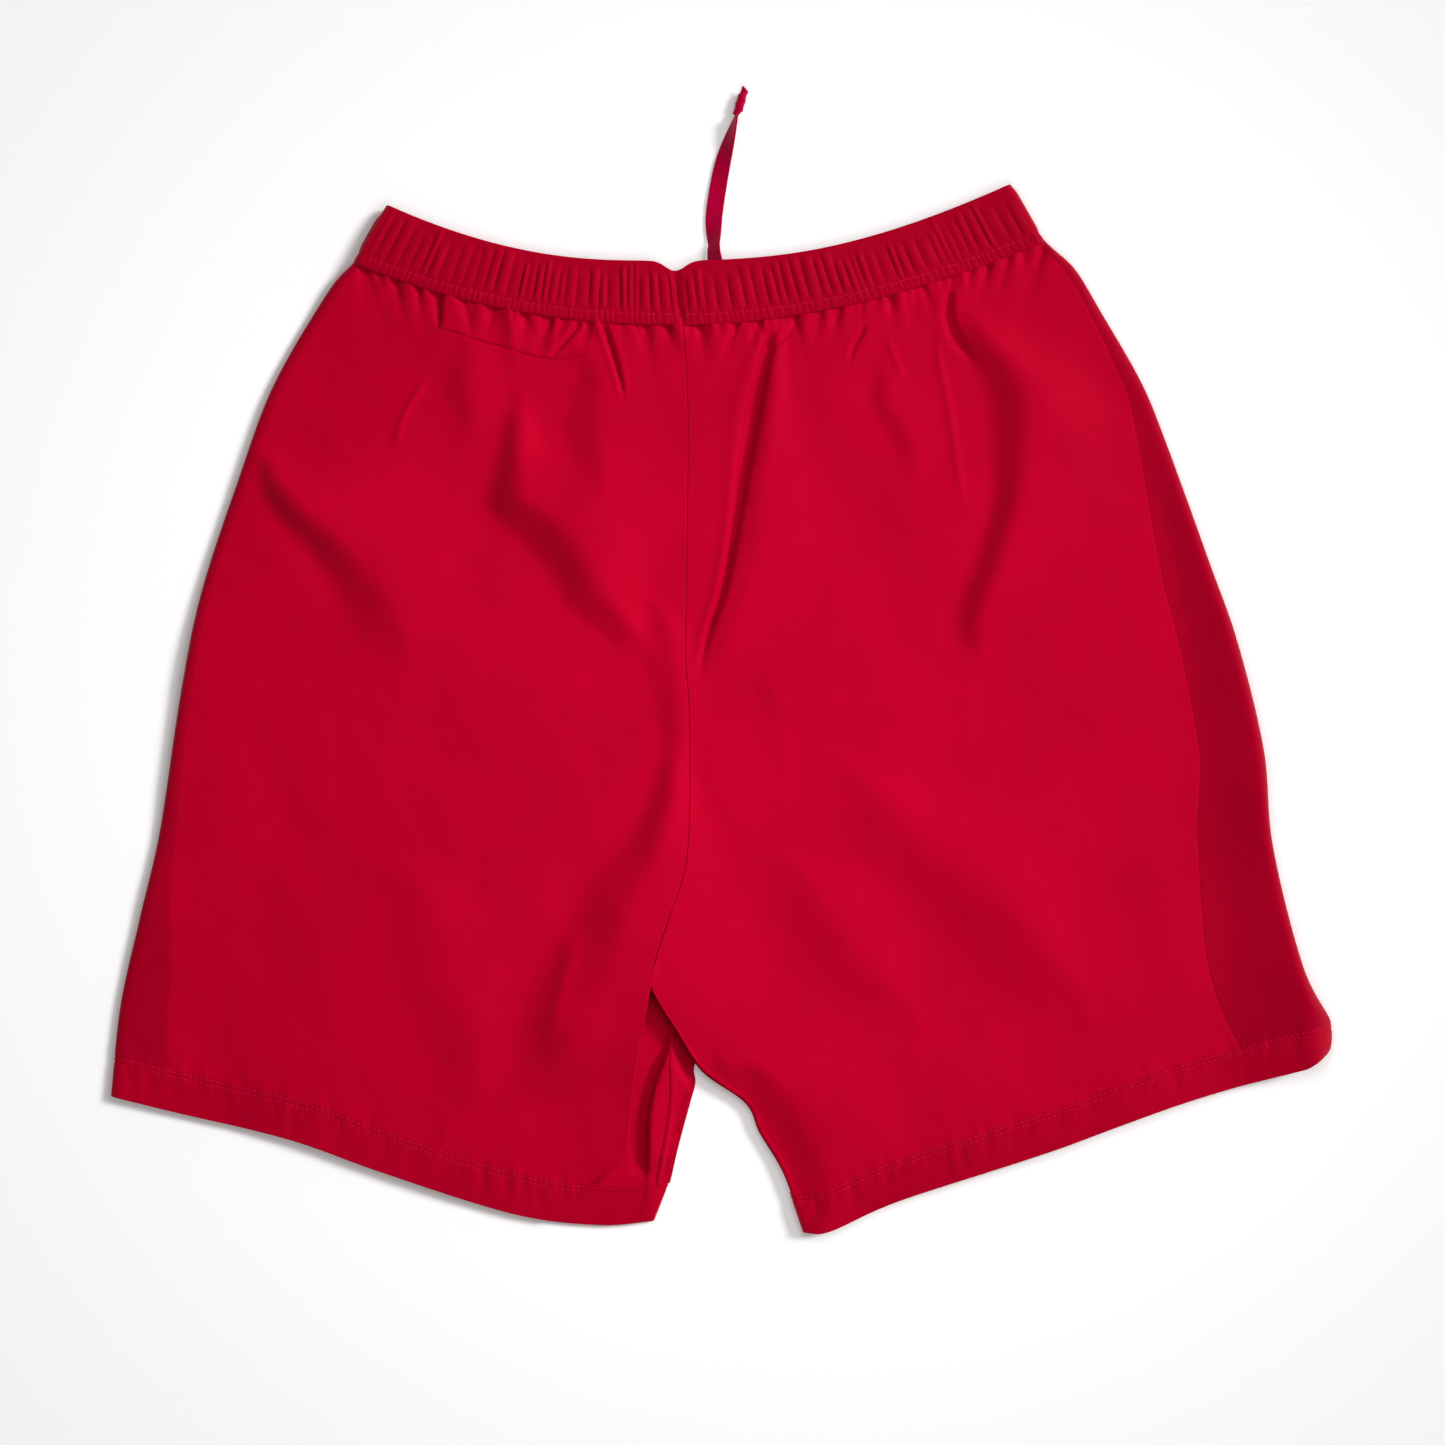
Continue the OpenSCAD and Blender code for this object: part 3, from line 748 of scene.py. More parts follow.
def woven(name, colour, rough=0.58, pitch=0.5, weave=0.12, crinkle=0.25, sheen=0.1, shade=0.1,
          angle=0.0, tint=RED_TINT):
    """Plain woven cloth: two crossed sets of threads, small crinkles and slow colour variation."""
    n = Nodes(name)
    where = n.add("ShaderNodeTexCoord", {}).outputs["Object"]
    turned = n.add("ShaderNodeMapping", {"Rotation": (0, 0, angle), "Vector": where}).outputs[0]
    bands = {"Scale": 1 / (math.pi * pitch * MM), "Distortion": 0.6, "Detail": 0.0, "Vector": turned}
    threads = [
        n.add("ShaderNodeTexWave", bands, wave_type="BANDS", bands_direction=direction).outputs["Fac"]
        for direction in ("X", "Y")
    ]
    crossed = n.math("MAXIMUM", *threads)
    fine = {"Scale": 230.0, "Detail": 4.0, "Roughness": 0.55, "Vector": where}
    fine = n.add("ShaderNodeTexNoise", fine).outputs["Fac"]
    slow = {"Scale": 14.0, "Detail": 3.0, "Vector": where}
    slow = n.add("ShaderNodeTexNoise", slow).outputs["Fac"]
    mixed = n.math("ADD", n.math("MULTIPLY", slow, 0.7), n.math("MULTIPLY", crossed, 0.3))
    tones = n.add("ShaderNodeValToRGB", {"Fac": mixed})
    for end, place_on_ramp, gain in ((0, 0.3, 1 - shade), (1, 0.7, 1 + 0.5 * shade)):
        tones.color_ramp.elements[end].position = place_on_ramp
        tones.color_ramp.elements[end].color = [min(1, c * gain) for c in colour] + [1]
    crinkles = {"Strength": crinkle, "Distance": 0.6 * MM, "Height": fine}
    crinkles = n.add("ShaderNodeBump", crinkles).outputs["Normal"]
    weave_bump = {"Strength": weave, "Distance": 0.12 * MM, "Height": crossed, "Normal": crinkles}
    n.fill(n.shader, {
        "Base Color": tones.outputs["Color"],
        "Roughness": n.math("ADD", n.math("MULTIPLY", fine, 0.16), rough - 0.08),
        "Normal": n.add("ShaderNodeBump", weave_bump).outputs["Normal"],
        "Specular IOR Level": 0.2,
        "Specular Tint": tint,
        "Sheen Weight": sheen,
        "Sheen Roughness": 0.4,
        "Sheen Tint": tint,
    })
    return n.material


COLOURS = {m["slot"]: m["base_color"] for m in frame["record"]["materials"]}


def fabric(slot_name, gain=1.0, suffix="", **looks):
    """The cloth of a material slot. gain scales its colour as painted light and shade: below 1 it is
    painted shade, for cloth that lies double and lets less light through, for gathers and for slopes in
    shade; above 1 it is painted light.
    """
    return woven(slot_name + suffix, [c * gain for c in COLOURS[slot_name]], **looks)


SHELL = fabric("shell_fabric")
# the shell 0.9 times as bright: painted shade for cloth that lies double and lets less light through, used
# on the hems
SHELL_PAINTED_SHADE = fabric("shell_fabric", 0.9, "_painted_shade")
# the waistband 0.8 times as bright: painted shade for the shade in its gathers and pleats
BAND_CLOTH_PAINTED_SHADE = fabric("waistband_fabric", 0.8, crinkle=0.4, sheen=0.2)
# the side insert 0.9 times as bright: painted shade for the shade on its slopes
SIDE_CLOTH_PAINTED_SHADE = fabric("side_fabric", 0.9, angle=0.12)
LINING = fabric("pocket_fabric", rough=0.7, pitch=0.9, weave=0.3)
ELASTIC = fabric("elastic", rough=0.75, pitch=1.4, weave=0.8, tint=PALE_TINT)
TAPE = fabric("drawcord_tape", rough=0.55, pitch=0.8, weave=0.6, sheen=0.3)
# the thread 1.2 times as bright: painted light, so that stitches in the shade of their grooves still look
# light
THREAD_PAINTED_LIGHT = fabric("thread", 1.2, rough=0.4, pitch=0.35, weave=0.5, sheen=0.3)
LABEL = fabric("label", rough=0.6, pitch=0.4, weave=0.2, shade=0.03, tint=PALE_TINT)


# ---- How pieces join the frame ----
def place(piece, side, nodes, bends):
    """Puts a piece on its half and hides the CAD nodes it replaces. A piece that reaches the fold is not
    parented to a half: its transform is baked into its mesh instead.
    """
    if bends:
        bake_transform(piece)
    else:
        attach(piece, BODIES[side])
    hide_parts(*nodes)
    return piece


# ---- Camera ----
VIEW_WIDTH = 766 * MM
VIEW_CENTRE = (0.5 * MM, -7.4 * MM)
LENS = 80
SENSOR = 36


def make_camera():
    data = bpy.data.cameras.new("camera")
    data.lens = LENS
    data.sensor_width = SENSOR
    data.clip_end = 50
    camera = bpy.data.objects.new("camera", data)
    camera.location = (*VIEW_CENTRE, VIEW_WIDTH * LENS / SENSOR)
    bpy.context.scene.collection.objects.link(camera)
    bpy.context.scene.camera = camera


make_camera()


# ---- Drawcord ----
CORD_W = 9.0
CORD_T = 0.9
# The free ends' routes in metres, as the frame has them
CORD_ROUTE = [
    [
        (-0.035, 0.2175, 0.0029), (-0.035, 0.2165, 0.0046), (-0.035, 0.213, 0.0055),
        (-0.035, 0.204, 0.0052), (-0.036, 0.195, 0.0026), (-0.037, 0.184, 0.0019),
        (-0.039, 0.168, 0.0019), (-0.042, 0.150, 0.0019), (-0.045, 0.132, 0.0019),
    ],
    [
        (-0.003, 0.2175, 0.0029), (-0.003, 0.2185, 0.0046), (-0.003, 0.222, 0.0055),
        (-0.003, 0.232, 0.0055), (-0.004, 0.240, 0.0036), (-0.004, 0.247, 0.0014),
        (-0.004, 0.260, 0.0009), (-0.002, 0.275, 0.0009), (0.001, 0.290, 0.0009),
        (0.005, 0.304, 0.0009), (0.008, 0.314, 0.0009),
    ],
]
# Turn of the tape about its own length, in degrees, at even steps along each end
CORD_TURN = [(0, 0, 0, 4, 8, 6, 0), (0, 0, 30, 50, 18, 0, 4, 16, 34, 58, 82)]
KNOT_LENGTH = 16
KNOT_TURNS = 2.4
KNOT_R = 1.9
KNOT_Z = 3.0


def tape_frame(path):
    """Unit vectors level across a route, and square to it and to those."""
    along = unit(np.gradient(path, axis=0))
    across = np.cross(along, [0.0, 0.0, 1.0])
    across[np.linalg.norm(across, axis=1) < 0.25] = [1.0, 0.0, 0.0]
    across = unit(across)
    return across, np.cross(across, along)


def tape_ring(width, thickness):
    """Outline of the flat tape, slightly thicker along both edges."""
    half = width / 2
    across = np.array([-1, -0.97, -0.86, -0.6, -0.2, 0.2, 0.6, 0.86, 0.97, 1]) * half
    rise = np.array([0.0, 0.42, 0.5, 0.4, 0.38, 0.38, 0.4, 0.5, 0.42, 0.0]) * thickness
    return np.vstack([
        np.stack([across, rise], 1),
        np.stack([across[-2:0:-1], -rise[-2:0:-1]], 1),
    ])


def swept_tape(name, path, across, up, ring):
    """The tape's outline carried along a path."""
    rings = path[:, None] + across[:, None] * ring[None, :, :1] + up[:, None] * ring[None, :, 1:]
    return tube(name, rings, TAPE, hubs=path[[0, -1]], sharp=65)


def cord_path(side):
    """The tape's middle line in millimetres, lifted where the tape stands on its edge."""
    share = np.linspace(0, 1, 150)
    path = spline(np.array(CORD_ROUTE[side]) / MM, len(share))
    turn = np.radians(spread(CORD_TURN[side], share)) * smooth(share * 4)
    if side == RIGHT:
        stand = CORD_W / 2 * np.sin(turn) + CORD_T / 2 * np.cos(turn) + 0.1
        path[:, 2] = np.maximum(path[:, 2], stand * smooth((share - 0.1) / 0.1))
    return path, turn


def make_knot(side, path):
    """The tape's end, wound round itself in a small tight knot."""
    up = np.array([0, 0, 1.0])
    along = path[-1] - path[-6]
    along[2] = 0
    along = unit(along)
    t = np.linspace(0, 1, 120)
    angle = 2 * math.pi * KNOT_TURNS * t + 0.6
    squeeze = 0.62 + 0.38 * np.sin(math.pi * np.clip(t * 1.05, 0, 1)) ** 0.6
    centre = path[-1] + np.outer(t * (KNOT_LENGTH - 3.5) + 0.8, along)
    centre[:, 2] = KNOT_Z
    out = np.outer(np.cos(angle), np.cross(along, up)) + np.outer(np.sin(angle), up)
    line = centre + out * (KNOT_R * squeeze)[:, None]
    forward = unit(np.gradient(line, axis=0))
    across = unit(np.cross(out, forward))
    name = f"{NAMES[side]}_drawcord_knot_wrap"
    return swept_tape(name, line, across, np.cross(forward, across), tape_ring(5.0, 1.1))


def make_cord(side):
    """One free end of the drawcord, with its knot."""
    path, turn = cord_path(side)
    level, up = tape_frame(path)
    across = level * np.cos(turn)[:, None] + up * np.sin(turn)[:, None]
    above = -level * np.sin(turn)[:, None] + up * np.cos(turn)[:, None]
    name = f"{NAMES[side]}_drawcord_tape_end"
    tape = swept_tape(name, path, across, above, tape_ring(CORD_W, CORD_T))
    knot = make_knot(side, path)
    place(tape, side, [f"{NAMES[side]}_drawcord_end"], side == LEFT)
    place(knot, side, [f"{NAMES[side]}_drawcord_knot"], False)


for side in (LEFT, RIGHT):
    make_cord(side)


# ---- Waistband ----
BAND_HALF_T = 1.6
RUN_Z = (BAND_T / 2 - 0.2, BAND_BACK_Z + BAND_T / 2 - 0.5)
MIDDLE_Z = (RUN_Z[0] + RUN_Z[1]) / 2
BAND_COLS = 430
# The waistband's lowest point clears the surface by this much
CLEARANCE = 0.12
# The turn round the hip reaches outwards by this share of its radius
TURN_REACH = 0.8
BAND_STITCH_LEVEL = 5 / BAND_DEPTH
TURN_R = (RUN_Z[1] - RUN_Z[0]) / 2
# Share across at which each side's waistband starts to turn round the hip
TURN_AT = [1 - TURN_R / span for span in BAND_SPAN]


def make_pleats(seed, pitch, span=420):
    """Places, strengths, slants and reaches of pleats along the waistband."""
    rng = np.random.default_rng(seed)
    count = int(span / pitch) + 3
    steps = rng.uniform(0.62, 1.42, count)
    at = np.cumsum(steps) / steps.mean() * pitch - pitch
    return at, *(rng.uniform(low, high, count) for low, high in ((0.45, 1.15), (-0.6, 0.6), (0.0, 1.0)))


PLEAT_PITCH, FINE_PITCH = 5.4, 3.1
PLEATS = [make_pleats(31 + side, PLEAT_PITCH) for side in (LEFT, RIGHT)]
FINE_PLEATS = [make_pleats(41 + side, FINE_PITCH) for side in (LEFT, RIGHT)]
# The front run reads the pleats from here on, so that it differs from the back run
FRONT_PLEATS = 200


def pleat_wave(s, pleats, level):
    """Rounded ridges with sharp grooves between them, from 0 in a groove to 1 on a ridge."""
    at, strength, slant, reach = pleats
    index = np.clip(np.searchsorted(at, s) - 1, 0, len(at) - 2)
    s = s + slant[index] * (level - 0.5) * 1.6
    index = np.clip(np.searchsorted(at, s) - 1, 0, len(at) - 2)
    share = (s - at[index]) / (at[index + 1] - at[index])
    top = 0.72 + 0.26 * reach[index]
    fade = 1 - smooth((level - top + 0.12) / 0.16)
    return np.sin(math.pi * np.clip(share, 0, 1)) ** 0.75 * strength[index] * fade


def band_lift(side, s, level):
    """How far the gathered cloth stands out from the band's smooth face."""
    above = level - BAND_STITCH_LEVEL
    coarse = smooth((above - 0.02) / 0.12)
    fine = 1 - smooth((above + 0.02) / 0.1)
    lift = 1.45 * coarse * (pleat_wave(s, PLEATS[side], level) - 0.5)
    lift += 0.6 * fine * (pleat_wave(s, FINE_PLEATS[side], 0.3) - 0.5)
    return lift - 0.5 * bump(above * BAND_DEPTH, 0.9)


def band_ring(count=44):
    """The flattened section of the waistband: shares of its depth, and offsets outwards."""
    deep, thick = (np.sign(v) * np.abs(v) ** 0.5 for v in (np.cos(circle(count)), np.sin(circle(count))))
    return 0.5 + 0.5 * deep, thick * BAND_HALF_T


def band_offset(side, s, level, out, crease=0.0):
    """Distance of the casing's outside from the middle of its thickness."""
    face = np.sign(out)
    edge = np.abs(out / BAND_HALF_T) ** 1.5
    return out + face * edge * (band_lift(side, s, level) - crease * (face > 0))


def band_run(side, back):
    """A straight run of the waistband, from the middle to where it turns round the hip."""
    level, out = band_ring()
    across, level = np.meshgrid(np.linspace(0, TURN_AT[side], BAND_COLS), level, indexing="ij")
    s = across * BAND_SPAN[side] + (0 if back else FRONT_PLEATS)
    crease = (1.3 if back else 0.0) * bump(across * TOP_SPAN[side], 2.2)
    offset = band_offset(side, s, level, out[None, :], crease)
    z = RUN_Z[1] + offset if back else np.maximum(RUN_Z[0] - offset, CLEARANCE)
    return raised(band_xy(side, across, level), z)


def band_turn(side):
    """The waistband's turn round the hip, from the back run to the front run."""
    level, out = band_ring()
    angle, level = np.meshgrid(np.linspace(0, math.pi, 26), level, indexing="ij")
    start = band_xy(side, TURN_AT[side], level)
    outwards = unit(band_xy(side, 1.0, level) - start)
    s = BAND_SPAN[side] - TURN_R + angle * TURN_R
    radius = TURN_R + band_offset(side, s, level, out[None, :])
    xy = start + outwards * (np.sin(angle) * radius * TURN_REACH)[..., None]
    return raised(xy, np.maximum(MIDDLE_Z + np.cos(angle) * radius, CLEARANCE))


def make_waistband(side):
    name = NAMES[side]
    for node, suffix, grid, bends in (
        ("back_waistband", "_casing", band_run(side, True), True),
        ("front_waistband", "_casing", band_run(side, False), True),
        ("side_waistband", "_turn", band_turn(side), False),
    ):
        casing = tube(f"{name}_{node}{suffix}", grid, BAND_CLOTH_PAINTED_SHADE)
        place(casing, side, [f"{name}_{node}"], bends)


for side in (LEFT, RIGHT):
    make_waistband(side)


# ---- Panels ----
PANEL_ROWS = 250
PANEL_COLS = 170
EDGE_R = 6.0
SEAM_R = 0.32
SEAM_DROP = 1.2
TUCKED_LEVEL = 0.12
FACING = OUTWARD
# Distance of the side seams from the outer edge, at even steps down the garment
BACK_SEAM_W = [(4.5, 4.5, 4.5, 4.5, 4.5, 5, 6, 10, 22, 29), (4.5, 6, 10, 19, 27, 31, 34, 39, 46, 49)]
FRONT_SEAM_W = [(8, 52), (8, 34)]
# Each leg's inner edge turns over softly below this place along the garment, at this radius
LIP_FROM = -142
LIP_RADIUS = (1.1, 2.4)


def side_grid(side, widths):
    """Lines down the side at widths from its outer edge, given in rows, that end at the hem."""
    line = side_curve(side)
    share = np.linspace(0, 1, len(widths))
    edge = resample(line, share * (1 - HEM_DEPTH / length_of(line)))
    inward = -OUTWARD[side] * normals_2d(edge)
    xy = edge[:, None] + inward[:, None] * widths[..., None]
    end = hem_points(side, float(HEM_DEPTH), widths[-1] / HEM_LENGTH[side])
    pull = smooth((share - 0.7) / 0.3)[:, None, None]
    return xy + pull * (end - xy[-1])[None]


def side_part(side, width):
    """The outer edge down to the hem, moved inwards by widths at even steps along it."""
    return side_grid(side, spread(width, np.linspace(0, 1, 300))[:, None])[:, 0]


def centre_part(side):
    """The centre back seam and the leg's inner edge, down to the top of the hem."""
    if side == LEFT:
        corner = hem_points(LEFT, np.array(float(HEM_DEPTH)), flap_share(HEM_DEPTH))
        return spline(BACK_SEAM + LEFT_LIP + [tuple(corner)], 400)
    line = spline(BACK_SEAM + RIGHT_INNER, 400)
    return resample(line, np.linspace(0, 1 - HEM_DEPTH / length_of(line), 400))


# Where the corner of the left leg's hem is folded under: distances from its inner end
FLAP_AT = (56, 40)


def flap_share(lift):
    """Share of the left hem where its folded corner begins."""
    return 1 - (FLAP_AT[0] + (FLAP_AT[1] - FLAP_AT[0]) * lift / HEM_DEPTH) / HEM_LENGTH[LEFT]


def back_bottom(side):
    """The lower edge of the back panel, from the inside to the side seam."""
    inner = 1 if side == RIGHT else flap_share(HEM_DEPTH)
    return hem_points(side, HEM_DEPTH, np.linspace(inner, BACK_SEAM_W[side][-1] / HEM_LENGTH[side], 200))


def patch(top, bottom, centre, outer):
    """A plane grid with its corners closed. The top edge is fitted, and the other edges follow."""
    centre[0], outer[0] = top[0], top[-1]
    bottom[0], bottom[-1] = centre[-1], outer[-1]
    return coons(top, bottom, centre, outer)


def fitted_patch(side, bottom, centre, outer):
    """The same, with its top edge along the waistband's lower edge."""
    line = band_xy(side, np.linspace(0, 1, 300), TUCKED_LEVEL)
    line = line[np.argsort(line[:, 0])]
    x = np.linspace(centre[0, 0], outer[0, 0], len(bottom))
    return patch(np.stack([x, np.interp(x, *line.T)], 1), bottom, centre, outer)


def make_back_panel(side):
    name = NAMES[side]
    shares = dense_first(PANEL_ROWS)
    centre = centre_part(side)
    lip = smooth((LIP_FROM - centre[:, 1]) / 14)
    radius = SEAM_R + lip * (LIP_RADIUS[side] - SEAM_R)
    centre = resample(inset_line(centre, radius, OUTWARD[side]), shares)
    lip, radius = (np.interp(shares, np.linspace(0, 1, len(v)), v) for v in (lip, radius))
    outer = resample(side_part(side, BACK_SEAM_W[side]), shares)
    bottom = resample(back_bottom(side), np.linspace(0, 1, PANEL_COLS))
    grid = lifted(fitted_patch(side, bottom, centre, outer), back_height)
    # the first row stands up inside the casing, so that no light passes under the waistband
    grid[0, :, 2] = RUN_Z[1]
    under = (strip_height, front_height)[side](centre[:, 0], centre[:, 1]) + 0.5
    drop = SEAM_DROP + lip * (grid[:, 0, 2] - under - SEAM_DROP)
    grid = with_turns(
        grid,
        start={"radius": radius, "drop": drop, "tuck": 2.0 + (5.0 if side == LEFT else 0.0) * lip},
        end={"radius": SEAM_R, "drop": SEAM_DROP, "tuck": 2.0},
    )
    panel = cloth(f"{name}_back_panel_cloth", grid, SHELL, face=FACING[side])
    place(panel, side, [f"{name}_back_panel"], True)


def front_centre(side):
    """The centre front seam and the inner edge of the front, down to the top of the hem."""
    inner = LEFT_INNER if side == LEFT else [(-26, -138), (-34, -150)] + RIGHT_INNER[2:]
    start = [(CENTRE_X, 208), (CENTRE_X, 100), (CENTRE_X, 0), (CENTRE_X, -100)]
    line = spline(start + list(inner), 400)
    return resample(line, np.linspace(0, 1 - HEM_DEPTH / length_of(line), 400))


def make_front_panel(side):
    name = NAMES[side]
    shares = np.linspace(0, 1, 130)
    centre = front_centre(side)
    inset = 0.3 + 2.6 * smooth((np.linspace(0, 1, 400) - 0.7) / 0.06)
    centre = resample(inset_line(centre, inset, OUTWARD[side]), shares)
    outer = resample(side_part(side, FRONT_SEAM_W[side]), shares)
    end = FRONT_SEAM_W[side][-1] / HEM_LENGTH[side]
    bottom = hem_points(side, HEM_DEPTH, np.linspace(1, end, 90))
    grid = lifted(fitted_patch(side, bottom, centre, outer), FRONT_HEIGHT[side])
    panel = cloth(f"{name}_front_panel_cloth", grid, SHELL, face=-FACING[side])
    place(panel, side, [f"{name}_front_panel"], True)


def make_inner_fold():
    """The left leg's cloth inside the crotch, which shows beside the back panel's lip."""
    inner = spline(LEFT_INNER, 200)
    inner = resample(inner, np.linspace(0, 1 - HEM_DEPTH / length_of(inner), 90))
    inner = inset_line(inner, 2.2, -1)
    hidden = spline([(-42, -126), (-46, -150), (-53, -186), (-58, -215), (-66, -250)], 90)
    top = np.linspace(inner[0], hidden[0], 40)
    bottom = hem_points(LEFT, HEM_DEPTH, np.linspace(1, 1 - 36 / HEM_LENGTH[LEFT], 40))
    grid = lifted(patch(top, bottom, inner, hidden), strip_height)
    low = left_front_height(inner[:, 0], inner[:, 1])
    grid = with_turns(grid, start={"radius": 2.2, "drop": grid[:, 0, 2] - low - 0.4, "tuck": 3.0})
    fold = cloth("left_inner_fold_cloth", grid, SHELL, face=-1)
    place(fold, LEFT, ["left_front_panel"], True)


def between_layers(side, xy, level, upper):
    """Heights from the front layer, at level 0, to an upper one, at level 1."""
    low = FRONT_HEIGHT[side](xy[..., 0], xy[..., 1])
    return low + (upper(xy[..., 0], xy[..., 1]) - low) * level


def make_side_panel(side):
    """The insert along the side: it lies on the back, turns round the edge and ends on the front."""
    name = NAMES[side]
    down = np.linspace(0, 1, 220)
    back_w = spread(BACK_SEAM_W[side], down) - SEAM_R
    front_w = spread(FRONT_SEAM_W[side], down) + 1.5
    rolled = np.minimum(EDGE_R, back_w * 0.75)
    widths = [back_w + (rolled - back_w) * t for t in np.linspace(0, 1, 26)]
    levels = [1.0] * 26
    for angle in np.linspace(0, math.pi, 18)[1:-1]:
        radius = rolled if angle < math.pi / 2 else np.full(len(down), EDGE_R)
        widths.append(radius * (1 - math.sin(angle)))
        levels.append((1 + math.cos(angle)) / 2)
    widths += [EDGE_R + (front_w - EDGE_R) * t for t in np.linspace(0, 1, 20)]
    levels = np.array(levels + [0.0] * 20)
    xy = side_grid(side, np.stack(widths, 1))
    z = between_layers(side, xy, levels, back_height)
    z[:, -4:] += 0.45 * np.array([0.25, 0.6, 0.9, 1.0])
    grid = with_turns(raised(xy, z), start={"radius": SEAM_R, "drop": SEAM_DROP, "tuck": 2.0})
    panel = cloth(f"{name}_side_panel_cloth", grid, SIDE_CLOTH_PAINTED_SHADE, face=FACING[side])
    place(panel, side, [f"{name}_side_panel"], False)


for side in (LEFT, RIGHT):
    make_front_panel(side)
    make_back_panel(side)
    make_side_panel(side)
make_inner_fold()


# ---- Hems: each is the turned-up end of the leg, two plies deep, with two rows of stitching ----
STITCH_LIFTS = (21, 18.5)
PLY_GAP = 0.9


def hem_section():
    """Lifts and insets of the hem's section: down the outer ply, round, and up the inner ply."""
    turn = np.linspace(0, math.pi, 7)
    outer = np.concatenate([np.linspace(23, 17, 19), np.linspace(16, 1, 12)])
    inner = np.linspace(0.6, 20.5, 8)
    lift = np.concatenate([outer, 0.5 - 0.5 * np.sin(turn), inner])
    inset = np.concatenate([0 * outer, PLY_GAP * (1 - np.cos(turn)) / 2, 0 * inner + PLY_GAP])
    inset[:len(outer)] += 0.5 * smooth((outer - 21.6) / 1.2)
    return lift, inset, len(outer)


def hem_groove(lift):
    """How deep the stitching pulls the outer ply in."""
    return 0.24 * sum(bump(lift - row, 0.6) for row in STITCH_LIFTS)


def roll(edge, step, radius_share):
    """Shares and levels of a turn round the leg's edge, from the upper face to the lower one."""
    angle = np.linspace(0, math.pi, 10)
    return edge + step * radius_share * (1 - np.sin(angle)), (1 + np.cos(angle)) / 2


def make_hem(name, side, share, level, upper, nodes):
    """A length of hem whose columns follow shares along the leg and levels from front to back."""
    lift, inset, outer_count = hem_section()
    share = np.broadcast_to(share, (len(lift), np.shape(share)[-1]))
    grid_lift = np.broadcast_to(lift[:, None], share.shape)
    xy = hem_points(side, grid_lift, share)
    inward = (inset + np.where(np.arange(len(lift)) < outer_count, hem_groove(lift), 0))[:, None]
    z = between_layers(side, xy, level, upper) - inward * (2 * level - 1)
    middle = unit(hem_points(side, grid_lift, np.clip(share * 0.9 + 0.05, 0, 1)) - xy)
    xy = xy + middle * (inward * 2 * np.sqrt(level * (1 - level)))[..., None]
    # the hem takes the darker shell, whose darkness is painted shade
    hem = cloth(name, raised(xy, z), SHELL_PAINTED_SHADE, face=FACING[side])
    place(hem, side, nodes, True)


def make_right_hem():
    side = RIGHT
    size, small = EDGE_R / HEM_LENGTH[side], 3.0 / HEM_LENGTH[side]
    out_share, out_level = roll(0, 1, size)
    in_share, in_level = (v[::-1] for v in roll(1, -1, small))
    run = np.linspace(1 - small, size, 230)
    share = np.concatenate([in_share[:-1], run, out_share[1:]])
    level = np.concatenate([in_level[:-1], np.ones(230), out_level[1:]])
    make_hem("right_back_hem_cloth", side, share, level, back_height, ["right_back_hem"])
    run = np.linspace(1 - small, size, 160)
    make_hem("right_front_hem_cloth", side, run, np.zeros(160), back_height, ["right_front_hem"])


def make_left_hem():
    """Its front length also turns up round the leg's inner edge, on to the inner fold."""
    side = LEFT
    size, small = EDGE_R / HEM_LENGTH[side], 2.2 / HEM_LENGTH[side]
    out_share, out_level = roll(0, 1, size)
    start = flap_share(hem_section()[0])[:, None]
    run = start + (size - start) * np.linspace(0, 1, 220)[None]
    share = np.concatenate([run, np.broadcast_to(out_share[1:], (len(run), len(out_share) - 1))], 1)
    level = np.concatenate([np.ones(220), out_level[1:]])
    make_hem("left_back_hem_cloth", side, share, level, back_height, ["left_back_hem"])
    in_share, in_level = roll(1, -1, small)
    under = np.linspace(1 - 62 / HEM_LENGTH[side], 1 - small, 50)
    run = np.linspace(1 - small, size, 160)
    share = np.concatenate([under[:-1], in_share, run[1:]])
    level = np.concatenate([np.ones(49), in_level, np.zeros(159)])
    make_hem("left_front_hem_cloth", side, share, level, strip_height, ["left_front_hem"])


make_left_hem()
make_right_hem()


# ---- Stitching ----
STITCH_PITCH = 2.9
STITCH_LENGTH = 2.3
THREAD_R = 0.26


def stitches(lines, upwards):
    """Points and faces of separate stitches along lines in space."""
    sections = np.linspace(-0.5, 0.5, 5)
    size = np.array([0.35, 0.85, 1, 0.85, 0.35])
    up_z = np.array([0, 0, 1.0])
    caps = np.array([[0, 1, 2, 3], [0, 3, 4, 5], [27, 26, 25, 24], [29, 28, 27, 24]])
    one = np.vstack([quads(5, 6, 0, loop_cols=True)[:, ::-1], caps])
    all_points, all_faces, used = [], [], 0
    for line, up in zip(lines, upwards):
        total = length_of(line)
        count = int(total / STITCH_PITCH)
        middle = (np.arange(count) + 0.5) * STITCH_PITCH / total
        at = middle[:, None] + sections[None] * STITCH_LENGTH / total
        centre = resample(line, np.clip(at.ravel(), 0, 1))
        along = unit(resample(line, np.clip(at.ravel() + 0.5 / total, 0, 1)) - centre)
        lift = np.tile(0.3 * size * THREAD_R, count)[:, None] * up * up_z
        radius = np.tile(size * THREAD_R, count)[:, None, None]
        ring = np.cross(along, up_z)[:, None] * np.cos(circle(6))[None, :, None]
        ring = ring + up_z * np.sin(circle(6))[None, :, None]
        all_points.append(((centre + lift)[:, None] + ring * radius).reshape(-1, 3))
        steps = used + 30 * np.arange(count)
        all_faces.append((one[None] + steps[:, None, None]).reshape(-1, 4))
        used += 30 * count
    return np.vstack(all_points), np.vstack(all_faces)


